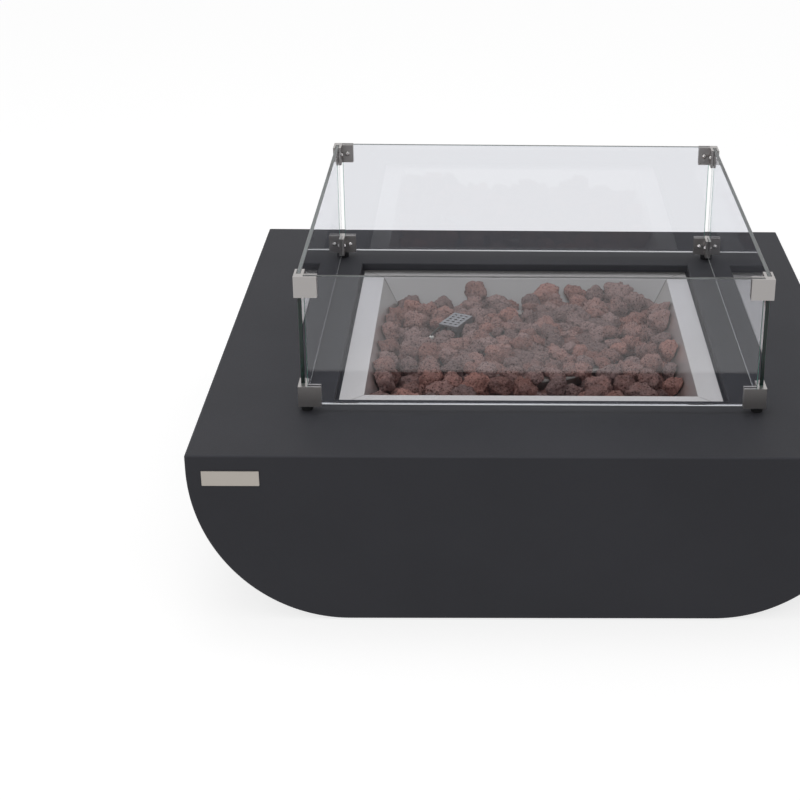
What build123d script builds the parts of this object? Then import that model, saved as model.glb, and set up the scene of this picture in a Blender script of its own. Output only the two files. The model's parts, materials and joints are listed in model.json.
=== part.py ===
"""Square, low, concrete gas fire pit with a drop-in burner and a lift-off glass wind guard.

Frame: millimetres, +Z up, -Y is the front, +Y the side with the recessed controls.
The origin is the middle of the footprint, on the ground.
"""

import os
import random
from math import atan2, cos, degrees, radians, sin, tan

from build123d import *

os.makedirs("parts", exist_ok=True)

# ----------------------------------------------------------------------------------------------
# Driving dimensions
# ----------------------------------------------------------------------------------------------

# Casting: a trough whose front and back are flat and whose two flanks sweep under the body
body_side = 1016.0
casting_height = 274.5
lip_height = 24.5  # upright band between the curved flank and the top
flank_run = 232.0  # how far the elliptical flank reaches in under the body
casting_wall = 14.0
deck_thickness = 22.0
floor_thickness = 16.0
edge_radius = 3.0
base_rim_sides = 42.0  # width of the floor left along the access opening, under the flanks
base_rim_ends = 68.0  # the same at the front and the back
pad_height = 1.5
pad_diameter = 36.0

# Burner well in the deck
flange_gap = 5.0  # room between the pan's flange and the well's sides
mouth_gap = 13.5  # room between the pan's slope and the ledge that carries the flange
well_edge_radius = 2.0
collar_depth = 44.0  # the deck's thickened edge around the well, measured from the top
collar_wall = 16.0

# Drop-in pan
pan_sheet = 1.5
flange_width = 38.0
flange_recess = 12.0  # flange surface below the deck
pan_mouth = 530.0
pan_slope_run = 45.0  # how far each side leans in between the mouth and the floor
pan_depth = 74.0
drain_diameter = 9.0
drain_inset = 55.0  # from the sides of the pan's floor

# Double ring burner, pressed from two halves with rounded edges
ring_section = 19.0
ring_corner = 4.5
burner_lift = 43.5  # middle of the rings above the pan floor
outer_ring_radius = 150.0
inner_ring_radius = 75.0
cross_tube_diameter = 9.6
burner_wall = 1.4
hub_diameter = 36.0
port_diameter = 3.2
outer_port_count = 24
inner_port_count = 12
nipple_diameter = 20.95
nipple_bore = 14.0
nipple_length = 26.0  # below the pan floor's top
locknut_rim = 3.65
locknut_height = 8.6
fit_gap = 0.05  # radial gap of screwed and slid-in joints
running_gap = 0.3  # gap between faces that pass each other

# Igniter hood over the outer ring
hood_width = 36.0
hood_length = 60.0
hood_height = 66.5
hood_sheet = 1.2
hood_in = 2.5  # from the middle of the outer ring's tube, towards the centre
hood_bearing = 149.43
hood_turn = -26.0
hood_leg = 10.0
hood_front_leg = 9.0
hood_brow = 15.0  # height of the closed band under the hood's top
hood_foot = 11.0
hood_slot_length = 5.6
hood_slot_width = 4.2
hood_slot_pitch = 10.4
hood_slot_columns = 3
hood_slot_rows = 5
hood_screw_diameter = 4.0
hood_screw_length = 8.0
hood_screw_head_diameter = 7.2
hood_screw_head_height = 2.4
hood_top_band = 3.6  # left over the openings in the ends

# Electrode and thermocouple beside the hood
electrode_out = 19.2  # from the middle of the outer ring's tube, away from the centre
electrode_bearing = 173.2
insulator_diameter = 9.0
insulator_shoulder = 12.6
insulator_shoulder_height = 4.5
insulator_round = 2.2
insulator_top = 58.0  # above the pan floor
insulator_tail = 20.0  # below it
rod_diameter = 2.6
rod_bend = 2.4
rod_tail = 5.2  # below the insulator
spark_gap = 3.5
probe_diameter = 5.0
probe_hex = 9.0
probe_hex_height = 5.0
probe_round = 1.6
probe_offset_across = -10.5  # from the hood's middle, across it
probe_offset_along = 36.0  # from the hood's middle, along it
probe_top = 60.0
probe_tail = 16.0
small_nut_hex_ratio = 1.7
small_nut_height_ratio = 0.6

# Lava rock fill
rock_pitch = 43.0
rock_size = 36.0
rock_radius = 22.3
rock_sides = 7
rock_jitter = 0.18  # of the step between rocks
rock_lean = 25.0
rock_taper = 14.0
rock_crown = 58.0  # height of the highest rocks' tops over the pan floor
rock_drop = 6.0  # how much lower the lowest of the top layer lie
bed_height = 34.0  # closed fill under the top layer of rocks
bed_side_gap = 2.0
piece_gap = 0.4  # room that the rocks leave around the burner's pieces

# Gas train under the pan
fitting_diameter = 28.0
elbow_drop = 30.0  # elbow axis below the pan floor's top
elbow_reach = 34.0
mixer_diameter = 24.0
mixer_length = 66.0
mixer_bell = 32.0
mixer_neck = 33.0
mixer_flare = 10.0
mixer_window_length = 18.0
mixer_window_width = 9.0
orifice_hex = 17.0
orifice_length = 14.0
gas_line_diameter = 9.5
flare_nut_hex = 16.0
flare_nut_length = 14.0

# Recessed control box in the back wall
box_width = 172.0
box_height = 92.0
box_depth = 37.5
box_sheet = 1.5
box_corner = 6.0
cutout_corner = 4.0
box_flange = 12.0
box_centre_z = 150.0
cutout_gap = 2.0
panel_screw_diameter = 4.0
panel_screw_length = 13.0
panel_head_diameter = 8.0
panel_head_height = 2.2
panel_head_round = 1.5

# Gas valve and its knob
knob_x = 45.0
knob_diameter = 44.0
knob_height = 24.0
knob_stand_off = 5.0  # room behind the knob for its push
knob_grips = 8
knob_skirt_height = 7.2
knob_grip_diameter = 37.0
knob_grip_taper = 4.0
knob_edge = 2.0
flute_circle = 41.4
flute_diameter = 9.7
pointer_width = 2.6
pointer_length = 11.4
pointer_offset = 10.6
pointer_corner = 1.1
pointer_height = 1.2
valve_width = 46.0
valve_height = 44.0
valve_depth = 40.0
bonnet_diameter = 26.0
bonnet_length = 18.0
stem_diameter = 8.0
stem_flat = 1.5
stem_in_knob = 14.4
valve_port_diameter = 14.25
valve_port_length = 9.5
push_travel = 4.0
washer_diameter = 15.0
washer_thickness = 3.0
spigot_diameter = 3.0
spigot_length = 5.0

# Pulse igniter
igniter_x = -8.0
igniter_rise = 14.0  # above the panel's middle
barrel_diameter = 22.0
barrel_length = 68.0
barrel_bore = 15.4
bezel_diameter = 27.0
bezel_height = 2.5
button_diameter = 14.0
button_stand_out = 6.0
button_travel = 3.5
cell_diameter = 14.5
cell_length = 50.5
cell_nub_diameter = 5.5
cell_nub_height = 1.5
terminal_length = 7.0
terminal_spacing = 11.0
terminal_width = 4.4
terminal_sheet = 1.1

# Gas inlet
inlet_x = -55.0
inlet_drop = 16.0  # below the panel's middle
inlet_thread_diameter = 15.88
inlet_thread_length = 16.0
inlet_hex = 22.0
inlet_hex_height = 5.0
inlet_bore = 8.0
inlet_tail = 24.0  # behind the panel
inlet_tube_diameter = 8.0
inlet_tube_bend = 11.2

# Leads
probe_lead_diameter = 3.0
spark_lead_diameter = 4.0
lead_drop = 26.0  # how far each lead falls straight before it turns to the back
probe_lead_sag = 90.0
spark_lead_sag = 54.8

# Vents low in the back wall
vent_length = 100.0
vent_width = 16.0
vent_spacing_x = 400.0
vent_z = 60.0

# Blank plate on the front
plate_width = 84.0
plate_height = 24.0
plate_thickness = 1.5
plate_inset = 65.0  # its middle from the body's left side
plate_drop = 36.5  # its middle below the deck
plate_bevel = 0.375
plate_corner = 1.2

# Wind guard
guard_side = 716.0
guard_foot_height = 9.0
guard_foot_diameter = 18.0
guard_foot_inset = 12.2
guard_foot_edge = 1.0
clamp_leg = 35.0
clamp_height = 33.0
clamp_outer_wall = 3.6
clamp_inner_wall = 4.4
clamp_floor = 3.0
clamp_edge = 1.2
glass_thickness = 6.0
glass_height = 208.0
glass_arris = 0.6
clamp_screw_diameter = 5.0
clamp_head_diameter = 9.0
clamp_head_height = 3.2
clamp_head_taper = 26.0
foot_screw_diameter = 4.0
foot_screw_reach = 10.0
foot_head_diameter = 8.0
foot_head_height = 2.6

# ----------------------------------------------------------------------------------------------
# Levels and places that follow from them
# ----------------------------------------------------------------------------------------------

half_side = body_side / 2
base_z = pad_height
top_z = base_z + casting_height
flank_rise = casting_height - lip_height
flat_half = half_side - flank_run
access_half_x = flat_half - base_rim_sides
access_half_y = half_side - base_rim_ends

flange_z = top_z - flange_recess
ledge_z = flange_z - pan_sheet
flange_side = pan_mouth + 2 * flange_width
well_side = flange_side + 2 * flange_gap
well_through = pan_mouth + 2 * (pan_sheet + mouth_gap)
pan_floor_side = pan_mouth - 2 * pan_slope_run
drain_spacing = pan_floor_side - 2 * drain_inset
pan_floor_z = flange_z - pan_depth
pan_under_z = pan_floor_z - pan_sheet

burner_z = pan_floor_z + burner_lift
burner_top_z = burner_z + ring_section / 2
elbow_z = pan_floor_z - elbow_drop
mixer_end_y = elbow_reach + mixer_length
orifice_end_y = mixer_end_y + orifice_length

hood_place = Vector(outer_ring_radius - hood_in, 0, pan_floor_z).rotate(Axis.Z, hood_bearing)
hood_plane = Plane(
    origin=hood_place,
    x_dir=(cos(radians(hood_turn)), sin(radians(hood_turn)), 0),
    z_dir=(0, 0, 1),
)
probe_place = hood_plane.from_local_coords((probe_offset_across, probe_offset_along, 0))
electrode_place = Vector(outer_ring_radius + electrode_out, 0, pan_floor_z).rotate(Axis.Z, electrode_bearing)

box_inner_width = box_width - 2 * box_sheet
box_inner_height = box_height - 2 * box_sheet
panel_y = half_side + box_sheet - box_depth
panel_back_y = panel_y - box_sheet
valve_front_y = panel_back_y - bonnet_length
valve_back_y = valve_front_y - valve_depth
igniter_z = box_centre_z + igniter_rise
inlet_z = box_centre_z - inlet_drop
inlet_end_y = panel_back_y - inlet_tail
barrel_end_y = panel_back_y - barrel_length

guard_half = guard_side / 2
slot_width = glass_thickness + 2 * running_gap
clamp_leg_width = clamp_outer_wall + slot_width + clamp_inner_wall
lower_clamp_z = top_z + guard_foot_height
glass_z = lower_clamp_z + clamp_floor
guard_top_z = glass_z + glass_height
upper_clamp_z = guard_top_z - clamp_height
glass_length = guard_side - 2 * (clamp_leg_width + running_gap)
glass_centre = guard_half - clamp_outer_wall - slot_width / 2

CORNERS = {"front_left": (-1, -1), "front_right": (1, -1), "back_left": (-1, 1), "back_right": (1, 1)}


def back_plane(y: float) -> Plane:
    """Return an upright plane at y that faces the back, with its local y pointing up."""
    return Plane(origin=(0, y, 0), x_dir=(-1, 0, 0), z_dir=(0, 1, 0))


def guard_corner_plane(side_x: int, side_y: int, z: float) -> Plane:
    """Return a level plane at an outer corner of the guard, its axes running in along both legs."""
    along = (-side_x, 0, 0) if side_x == side_y else (0, -side_y, 0)
    return Plane(origin=(side_x * guard_half, side_y * guard_half, z), x_dir=along, z_dir=(0, 0, 1))


def trough_profile(side_wall: float, floor_wall: float, deck_wall: float) -> Sketch:
    """Return the body's end-on outline, drawn in from the outside by the given walls."""
    run = flank_run - side_wall
    rise = flank_rise - floor_wall
    spring_z = base_z + flank_rise
    with BuildSketch(Plane.XZ) as profile:
        with BuildLine():
            Line((0, top_z - deck_wall), (half_side - side_wall, top_z - deck_wall))
            Line((half_side - side_wall, top_z - deck_wall), (half_side - side_wall, spring_z))
            EllipticalCenterArc((flat_half, spring_z), run, rise, start_angle=0, arc_size=-90)
            Line((flat_half, base_z + floor_wall), (0, base_z + floor_wall))
            mirror(about=Plane.YZ)
        make_face()
    return profile.sketch


def bend_radii(points: list) -> list:
    """Return an arc radius for each corner of a route, as large as 0.45 of its shorter run gives."""
    radii = []
    for before, corner, after in zip(points, points[1:], points[2:]):
        run_in = Vector(corner) - Vector(before)
        run_out = Vector(after) - Vector(corner)
        half_turn = radians(run_in.get_angle(run_out)) / 2
        radii.append(0.45 * min(run_in.length, run_out.length) / tan(half_turn))
    return radii


def hung(start: tuple, end: tuple, across: float, along: float, drop: float) -> tuple:
    """Return a route's point: its shares of the way across and along, and its drop below the start."""
    x = start[0] + (end[0] - start[0]) * across
    y = start[1] + (end[1] - start[1]) * along
    return (x, y, start[2] - drop)


# ----------------------------------------------------------------------------------------------
# Body
# ----------------------------------------------------------------------------------------------

with BuildPart() as concrete_shell:
    extrude(trough_profile(0, 0, 0), amount=half_side, both=True)
    end_faces = concrete_shell.faces().filter_by(Axis.Y)
    top_sides = concrete_shell.faces().sort_by(Axis.Z)[-1].edges().filter_by(Axis.Y)
    fillet(end_faces.edges() + top_sides, radius=edge_radius)
    # hollow inside, open underneath
    extrude(
        trough_profile(casting_wall, floor_thickness, deck_thickness),
        amount=half_side - casting_wall,
        both=True,
        mode=Mode.SUBTRACT,
    )
    with BuildSketch(Plane.XY.offset(base_z)):
        Rectangle(2 * access_half_x, 2 * access_half_y)
    extrude(amount=floor_thickness, mode=Mode.SUBTRACT)
    # thickened edge around the well, with the ledge for the pan
    with BuildSketch(Plane.XY.offset(top_z - collar_depth)):
        Rectangle(well_side + 2 * collar_wall, well_side + 2 * collar_wall)
    extrude(amount=collar_depth - deck_thickness)
    with BuildSketch(Plane.XY.offset(top_z - collar_depth)):
        Rectangle(well_through, well_through)
    extrude(amount=collar_depth, mode=Mode.SUBTRACT)
    with BuildSketch(Plane.XY.offset(ledge_z)):
        Rectangle(well_side, well_side)
    extrude(amount=top_z - ledge_z, mode=Mode.SUBTRACT)
    well_rim = concrete_shell.faces().sort_by(Axis.Z)[-1].inner_wires()[0].edges()
    fillet(well_rim, radius=well_edge_radius)
    # cut-out for the control box, its screw holes, and the vents
    with BuildSketch(back_plane(half_side)):
        with Locations((0, box_centre_z)):
            RectangleRounded(box_width + 2 * cutout_gap, box_height + 2 * cutout_gap, cutout_corner)
        with Locations((0, vent_z)):
            with GridLocations(vent_spacing_x, 2 * vent_width, 2, 2):
                SlotOverall(vent_length, vent_width)
    extrude(amount=-casting_wall, mode=Mode.SUBTRACT)
    with BuildSketch(back_plane(half_side)):
        with Locations((0, box_centre_z)):
            with GridLocations(box_width + box_flange, box_height + box_flange, 2, 2):
                Circle(panel_screw_diameter / 2 + fit_gap)
    extrude(amount=-panel_screw_length, mode=Mode.SUBTRACT)
concrete_shell.part.label = "concrete_shell"
export_step(concrete_shell.part, "parts/concrete_shell.step")

with BuildPart() as foot_pads:
    with BuildSketch():
        with GridLocations(2 * flat_half - base_rim_sides, body_side - base_rim_ends, 2, 2):
            Circle(pad_diameter / 2)
    extrude(amount=pad_height)
foot_pads.part.label = "foot_pads"
export_step(foot_pads.part, "parts/foot_pads.step")

with BuildPart() as name_plate:
    with BuildSketch(Plane.XZ.offset(half_side)):
        with Locations((plate_inset - half_side, top_z - plate_drop)):
            RectangleRounded(plate_width, plate_height, plate_corner)
    extrude(amount=plate_thickness)
    chamfer(name_plate.faces().sort_by(Axis.Y)[0].edges(), length=plate_bevel)
name_plate.part.label = "name_plate"
export_step(name_plate.part, "parts/name_plate.step")

# ----------------------------------------------------------------------------------------------
# Pan and burner
# ----------------------------------------------------------------------------------------------

# the pan's floor; its four sides are welded round it
with BuildPart() as burner_pan:
    with BuildSketch(Plane.XY.offset(pan_under_z)):
        Rectangle(pan_floor_side, pan_floor_side)
        Circle(nipple_diameter / 2 + running_gap, mode=Mode.SUBTRACT)
        with GridLocations(drain_spacing, drain_spacing, 2, 2):
            Circle(drain_diameter / 2, mode=Mode.SUBTRACT)
        with Locations((electrode_place.X, electrode_place.Y)):
            Circle(insulator_diameter / 2 + fit_gap, mode=Mode.SUBTRACT)
        with Locations((probe_place.X, probe_place.Y)):
            Circle(probe_diameter / 2 + fit_gap, mode=Mode.SUBTRACT)
    extrude(amount=pan_sheet)
    with BuildSketch(hood_plane):
        with GridLocations(hood_width + hood_foot, hood_length - hood_leg, 2, 2):
            Circle(hood_screw_diameter / 2 + fit_gap)
    extrude(amount=-pan_sheet, mode=Mode.SUBTRACT)
burner_pan.part.label = "burner_pan"
export_step(burner_pan.part, "parts/burner_pan.step")

# each side is one fold of sheet, its flange and its slope, and its ends are mitred
with BuildPart() as pan_fold:
    with BuildSketch(Plane.YZ):
        with BuildLine():
            Polyline(
                (-flange_side / 2, flange_z),
                (-pan_mouth / 2, flange_z),
                (-pan_floor_side / 2, pan_floor_z),
                (-pan_floor_side / 2, pan_under_z),
                (-pan_floor_side / 2 - pan_sheet, pan_under_z),
                (-pan_mouth / 2 - pan_sheet, ledge_z),
                (-flange_side / 2, ledge_z),
                close=True,
            )
        make_face()
    extrude(amount=flange_side / 2, both=True)
    with BuildSketch(Plane.XY.offset(pan_under_z)):
        with BuildLine():
            Polyline((0, 0), (flange_side / 2, -flange_side / 2), (-flange_side / 2, -flange_side / 2), close=True)
        make_face()
    extrude(amount=flange_z - pan_under_z, mode=Mode.INTERSECT)

for side, turn in {"front": 0, "right": 90, "back": 180, "left": 270}.items():
    with BuildPart() as pan_side:
        add(pan_fold.part.rotate(Axis.Z, turn))
    pan_side.part.label = f"pan_side_{side}"
    export_step(pan_side.part, f"parts/pan_side_{side}.step")

with BuildPart() as ring_burner:
    # the rings and the cross tube between them, then the gas way inside them
    for wall, mode in ((0, Mode.ADD), (burner_wall, Mode.SUBTRACT)):
        with BuildSketch(Plane.XZ):
            for ring_radius in (outer_ring_radius, inner_ring_radius):
                with Locations((ring_radius, burner_z)):
                    RectangleRounded(ring_section - 2 * wall, ring_section - 2 * wall, ring_corner - wall)
        revolve(axis=Axis.Z, mode=mode)
        with BuildSketch(Plane.YZ):
            with Locations((0, burner_z)):
                Circle(cross_tube_diameter / 2 - wall)
        extrude(amount=outer_ring_radius - burner_wall, both=True, mode=mode)
    with BuildSketch(Plane.XY.offset(pan_floor_z)):
        Circle(hub_diameter / 2)
    extrude(amount=burner_top_z - pan_floor_z)
    with BuildSketch(Plane.XY.offset(pan_floor_z)):
        Circle(nipple_diameter / 2)
    extrude(amount=-nipple_length)
    with BuildSketch(Plane.XY.offset(pan_floor_z - nipple_length)):
        Circle(nipple_bore / 2)
    extrude(amount=burner_z - pan_floor_z + nipple_length, mode=Mode.SUBTRACT)
    with BuildSketch(Plane.YZ):
        with Locations((0, burner_z)):
            Circle(cross_tube_diameter / 2 - burner_wall)
    extrude(amount=hub_diameter / 2 + burner_wall, both=True, mode=Mode.SUBTRACT)
    # ports through the top of each ring
    for ring_radius, port_count in ((outer_ring_radius, outer_port_count), (inner_ring_radius, inner_port_count)):
        with BuildSketch(Plane.XY.offset(burner_z)):
            with PolarLocations(ring_radius, port_count, start_angle=180 / port_count):
                Circle(port_diameter / 2)
        extrude(amount=ring_section, mode=Mode.SUBTRACT)
ring_burner.part.label = "ring_burner"
export_step(ring_burner.part, "parts/ring_burner.step")

locknut_hex = nipple_diameter + 2 * locknut_rim
with BuildPart() as burner_locknut:
    with BuildSketch(Plane.XY.offset(pan_under_z)):
        RegularPolygon(locknut_hex / 2, 6, major_radius=False)
        Circle(nipple_diameter / 2 + fit_gap, mode=Mode.SUBTRACT)
    extrude(amount=-locknut_height)
burner_locknut.part.label = "burner_locknut"
export_step(burner_locknut.part, "parts/burner_locknut.step")

elbow_top_z = pan_under_z - locknut_height - running_gap
with BuildPart() as burner_elbow:
    with BuildSketch(Plane.XY.offset(elbow_top_z)):
        Circle(fitting_diameter / 2)
    extrude(amount=elbow_z - elbow_top_z)
    with Locations((0, 0, elbow_z)):
        Sphere(fitting_diameter / 2)
    with BuildSketch(Plane.XZ.offset(-elbow_reach)):
        with Locations((0, elbow_z)):
            Circle(fitting_diameter / 2)
    extrude(amount=elbow_reach)
    with BuildSketch(Plane.XY.offset(elbow_top_z)):
        Circle(nipple_diameter / 2 + fit_gap)
    extrude(amount=pan_floor_z - nipple_length - elbow_top_z, mode=Mode.SUBTRACT)
    with BuildSketch(Plane.XY.offset(elbow_top_z)):
        Circle(nipple_bore / 2)
    extrude(amount=elbow_z - elbow_top_z, mode=Mode.SUBTRACT)
    with BuildSketch(Plane.XZ.offset(-elbow_reach)):
        with Locations((0, elbow_z)):
            Circle(nipple_bore / 2)
    extrude(amount=elbow_reach, mode=Mode.SUBTRACT)
burner_elbow.part.label = "burner_elbow"
export_step(burner_elbow.part, "parts/burner_elbow.step")

with BuildPart() as air_mixer:
    with BuildSketch(Plane.YZ):
        with BuildLine():
            Polyline(
                (elbow_reach, elbow_z + nipple_bore / 2),
                (elbow_reach, elbow_z + mixer_diameter / 2),
                (elbow_reach + mixer_neck, elbow_z + mixer_diameter / 2),
                (elbow_reach + mixer_neck + mixer_flare, elbow_z + mixer_bell / 2),
                (mixer_end_y, elbow_z + mixer_bell / 2),
                (mixer_end_y, elbow_z + gas_line_diameter / 2),
                (mixer_end_y - pan_sheet, elbow_z + gas_line_diameter / 2),
                (mixer_end_y - pan_sheet, elbow_z + mixer_bell / 2 - pan_sheet),
                (elbow_reach + mixer_neck + mixer_flare, elbow_z + mixer_bell / 2 - pan_sheet),
                (elbow_reach + mixer_neck, elbow_z + nipple_bore / 2),
                close=True,
            )
        make_face()
    revolve(axis=Axis((0, 0, elbow_z), (0, 1, 0)))
    # air windows around the bell
    window_y = mixer_end_y - pan_sheet - mixer_window_length / 2
    with BuildSketch(Plane.XY.offset(elbow_z)):
        with Locations((0, window_y)):
            Rectangle(mixer_window_width, mixer_window_length)
    extrude(amount=mixer_bell, both=True, mode=Mode.SUBTRACT)
    with BuildSketch(Plane.YZ):
        with Locations((window_y, elbow_z)):
            Rectangle(mixer_window_length, mixer_window_width)
    extrude(amount=mixer_bell, both=True, mode=Mode.SUBTRACT)
air_mixer.part.label = "air_mixer"
export_step(air_mixer.part, "parts/air_mixer.step")

with BuildPart() as gas_orifice:
    with BuildSketch(Plane.XZ.offset(-mixer_end_y)):
        with Locations((0, elbow_z)):
            RegularPolygon(orifice_hex / 2, 6, major_radius=False)
    extrude(amount=-orifice_length)
    with BuildSketch(Plane.XZ.offset(-mixer_end_y)):
        with Locations((0, elbow_z)):
            Circle(gas_line_diameter / 2 - fit_gap)
    extrude(amount=orifice_length / 2)
gas_orifice.part.label = "gas_orifice"
export_step(gas_orifice.part, "parts/gas_orifice.step")

# ----------------------------------------------------------------------------------------------
# Igniter group in the pan
# ----------------------------------------------------------------------------------------------

with BuildPart() as igniter_hood:
    with BuildSketch(hood_plane):
        Rectangle(hood_width, hood_length)
    extrude(amount=hood_height)
    with BuildSketch(hood_plane):
        Rectangle(hood_width - 2 * hood_sheet, hood_length - 2 * hood_sheet)
    extrude(amount=hood_height - hood_sheet, mode=Mode.SUBTRACT)
    # arches in the long sides leave a leg at each corner
    with BuildSketch(hood_plane):
        Rectangle(hood_width, hood_length - 2 * hood_leg)
    extrude(amount=hood_height - hood_brow, mode=Mode.SUBTRACT)
    # the burner tube passes through both ends; one front leg keeps a return
    with BuildSketch(hood_plane):
        with Locations((-hood_front_leg / 2 - hood_sheet / 2, -hood_length / 2)):
            Rectangle(hood_width - hood_front_leg - hood_sheet, hood_leg)
        with Locations((0, hood_length / 2)):
            Rectangle(hood_width - 2 * hood_sheet, hood_leg)
    extrude(amount=hood_height - hood_top_band, mode=Mode.SUBTRACT)
    # feet turned out from the legs
    with BuildSketch(hood_plane):
        with GridLocations(hood_width + hood_foot, hood_length - hood_leg, 2, 2):
            Rectangle(hood_foot, hood_leg)
            Circle(hood_screw_diameter / 2 + fit_gap, mode=Mode.SUBTRACT)
    extrude(amount=hood_sheet)
    # perforated top
    with BuildSketch(hood_plane.offset(hood_height)):
        with GridLocations(hood_slot_pitch, hood_slot_pitch, hood_slot_columns, hood_slot_rows):
            Rectangle(hood_slot_length, hood_slot_width)
    extrude(amount=-hood_sheet, mode=Mode.SUBTRACT)
igniter_hood.part.label = "igniter_hood"
export_step(igniter_hood.part, "parts/igniter_hood.step")

with BuildPart() as hood_screws:
    with BuildSketch(hood_plane.offset(hood_sheet)):
        with GridLocations(hood_width + hood_foot, hood_length - hood_leg, 2, 2):
            Circle(hood_screw_head_diameter / 2)
    extrude(amount=hood_screw_head_height)
    with BuildSketch(hood_plane.offset(hood_sheet)):
        with GridLocations(hood_width + hood_foot, hood_length - hood_leg, 2, 2):
            Circle(hood_screw_diameter / 2)
    extrude(amount=-hood_screw_length)
hood_screws.part.label = "hood_screws"
export_step(hood_screws.part, "parts/hood_screws.step")

with BuildPart() as electrode_insulator:
    with BuildSketch(Plane.XY.offset(pan_floor_z - insulator_tail)):
        with Locations((electrode_place.X, electrode_place.Y)):
            Circle(insulator_diameter / 2)
    extrude(amount=insulator_tail + insulator_top)
    tip_edge = electrode_insulator.faces().sort_by(Axis.Z)[-1].edges()
    fillet(tip_edge, radius=insulator_round)
    with BuildSketch(Plane.XY.offset(pan_floor_z)):
        with Locations((electrode_place.X, electrode_place.Y)):
            Circle(insulator_shoulder / 2)
    extrude(amount=insulator_shoulder_height)
    with BuildSketch(Plane.XY.offset(pan_floor_z - insulator_tail)):
        with Locations((electrode_place.X, electrode_place.Y)):
            Circle(rod_diameter / 2 + fit_gap)
    extrude(amount=insulator_tail + insulator_top, mode=Mode.SUBTRACT)
electrode_insulator.part.label = "electrode_insulator"
export_step(electrode_insulator.part, "parts/electrode_insulator.step")

# the rod rises out of the insulator, leans to the hood and stops one spark gap short of it
insulator_top_z = pan_floor_z + insulator_top
hood_aim = hood_plane.from_local_coords(
    (-hood_width / 2 + hood_top_band, -hood_length / 2 - spark_gap, hood_height - hood_top_band)
)
rod_points = [
    (electrode_place.X, electrode_place.Y, pan_floor_z - insulator_tail - rod_tail),
    (electrode_place.X, electrode_place.Y, insulator_top_z + rod_diameter),
    (hood_aim.X, hood_aim.Y, hood_aim.Z),
]
with BuildPart() as electrode_rod:
    with BuildLine() as rod_route:
        FilletPolyline(*rod_points, radius=rod_bend)
    with BuildSketch(Plane(origin=rod_route.line @ 0, z_dir=rod_route.line % 0)):
        Circle(rod_diameter / 2)
    sweep(path=rod_route.line)
electrode_rod.part.label = "electrode_rod"
export_step(electrode_rod.part, "parts/electrode_rod.step")

with BuildPart() as thermocouple_probe:
    with BuildSketch(Plane.XY.offset(pan_floor_z - probe_tail)):
        with Locations((probe_place.X, probe_place.Y)):
            Circle(probe_diameter / 2)
    extrude(amount=probe_tail + probe_top)
    fillet(thermocouple_probe.faces().sort_by(Axis.Z)[-1].edges(), radius=probe_round)
    with BuildSketch(Plane.XY.offset(pan_floor_z)):
        with Locations((probe_place.X, probe_place.Y)):
            RegularPolygon(probe_hex / 2, 6, major_radius=False)
    extrude(amount=probe_hex_height)
thermocouple_probe.part.label = "thermocouple_probe"
export_step(thermocouple_probe.part, "parts/thermocouple_probe.step")

with BuildPart() as igniter_locknuts:
    for place, diameter in ((electrode_place, insulator_diameter), (probe_place, probe_diameter)):
        with BuildSketch(Plane.XY.offset(pan_under_z)):
            with Locations((place.X, place.Y)):
                RegularPolygon(diameter * small_nut_hex_ratio / 2, 6, major_radius=False)
                Circle(diameter / 2 + fit_gap, mode=Mode.SUBTRACT)
        extrude(amount=-diameter * small_nut_height_ratio)
igniter_locknuts.part.label = "igniter_locknuts"
export_step(igniter_locknuts.part, "parts/igniter_locknuts.step")

# ----------------------------------------------------------------------------------------------
# Lava rock fill: broken, angular lumps over a closed bed
# ----------------------------------------------------------------------------------------------

pan_slope = (pan_mouth - pan_floor_side) / pan_depth
bed_foot = pan_floor_side - 2 * bed_side_gap
bed_top = bed_foot + pan_slope * bed_height
rock_field = pan_floor_side + pan_slope * rock_crown - 2 * bed_side_gap - rock_size
rock_rows = int(rock_field // rock_pitch) + 1
rock_random = random.Random(7)


def rock_places() -> list:
    """Return a jittered grid of places and turns for the top layer of rocks."""
    places = []
    step = rock_field / (rock_rows - 1)
    for row in range(rock_rows):
        for column in range(rock_rows):
            jitter = [rock_random.uniform(-rock_jitter, rock_jitter) * step for _ in range(2)]
            x = -rock_field / 2 + column * step
            y = -rock_field / 2 + row * step
            x += 0 if column in (0, rock_rows - 1) else jitter[0]
            y += 0 if row in (0, rock_rows - 1) else jitter[1]
            z = pan_floor_z + rock_crown - rock_size / 2 - rock_random.uniform(0, rock_drop)
            lean = [rock_random.uniform(-rock_lean, rock_lean) for _ in range(2)]
            places.append(Location((x, y, z), (*lean, rock_random.uniform(0, 90))))
    return places


with BuildPart() as lava_lump:
    with BuildSketch(Plane.XY.offset(-rock_size / 2)):
        RegularPolygon(rock_radius, rock_sides)
    extrude(amount=rock_size, taper=rock_taper)

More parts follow.
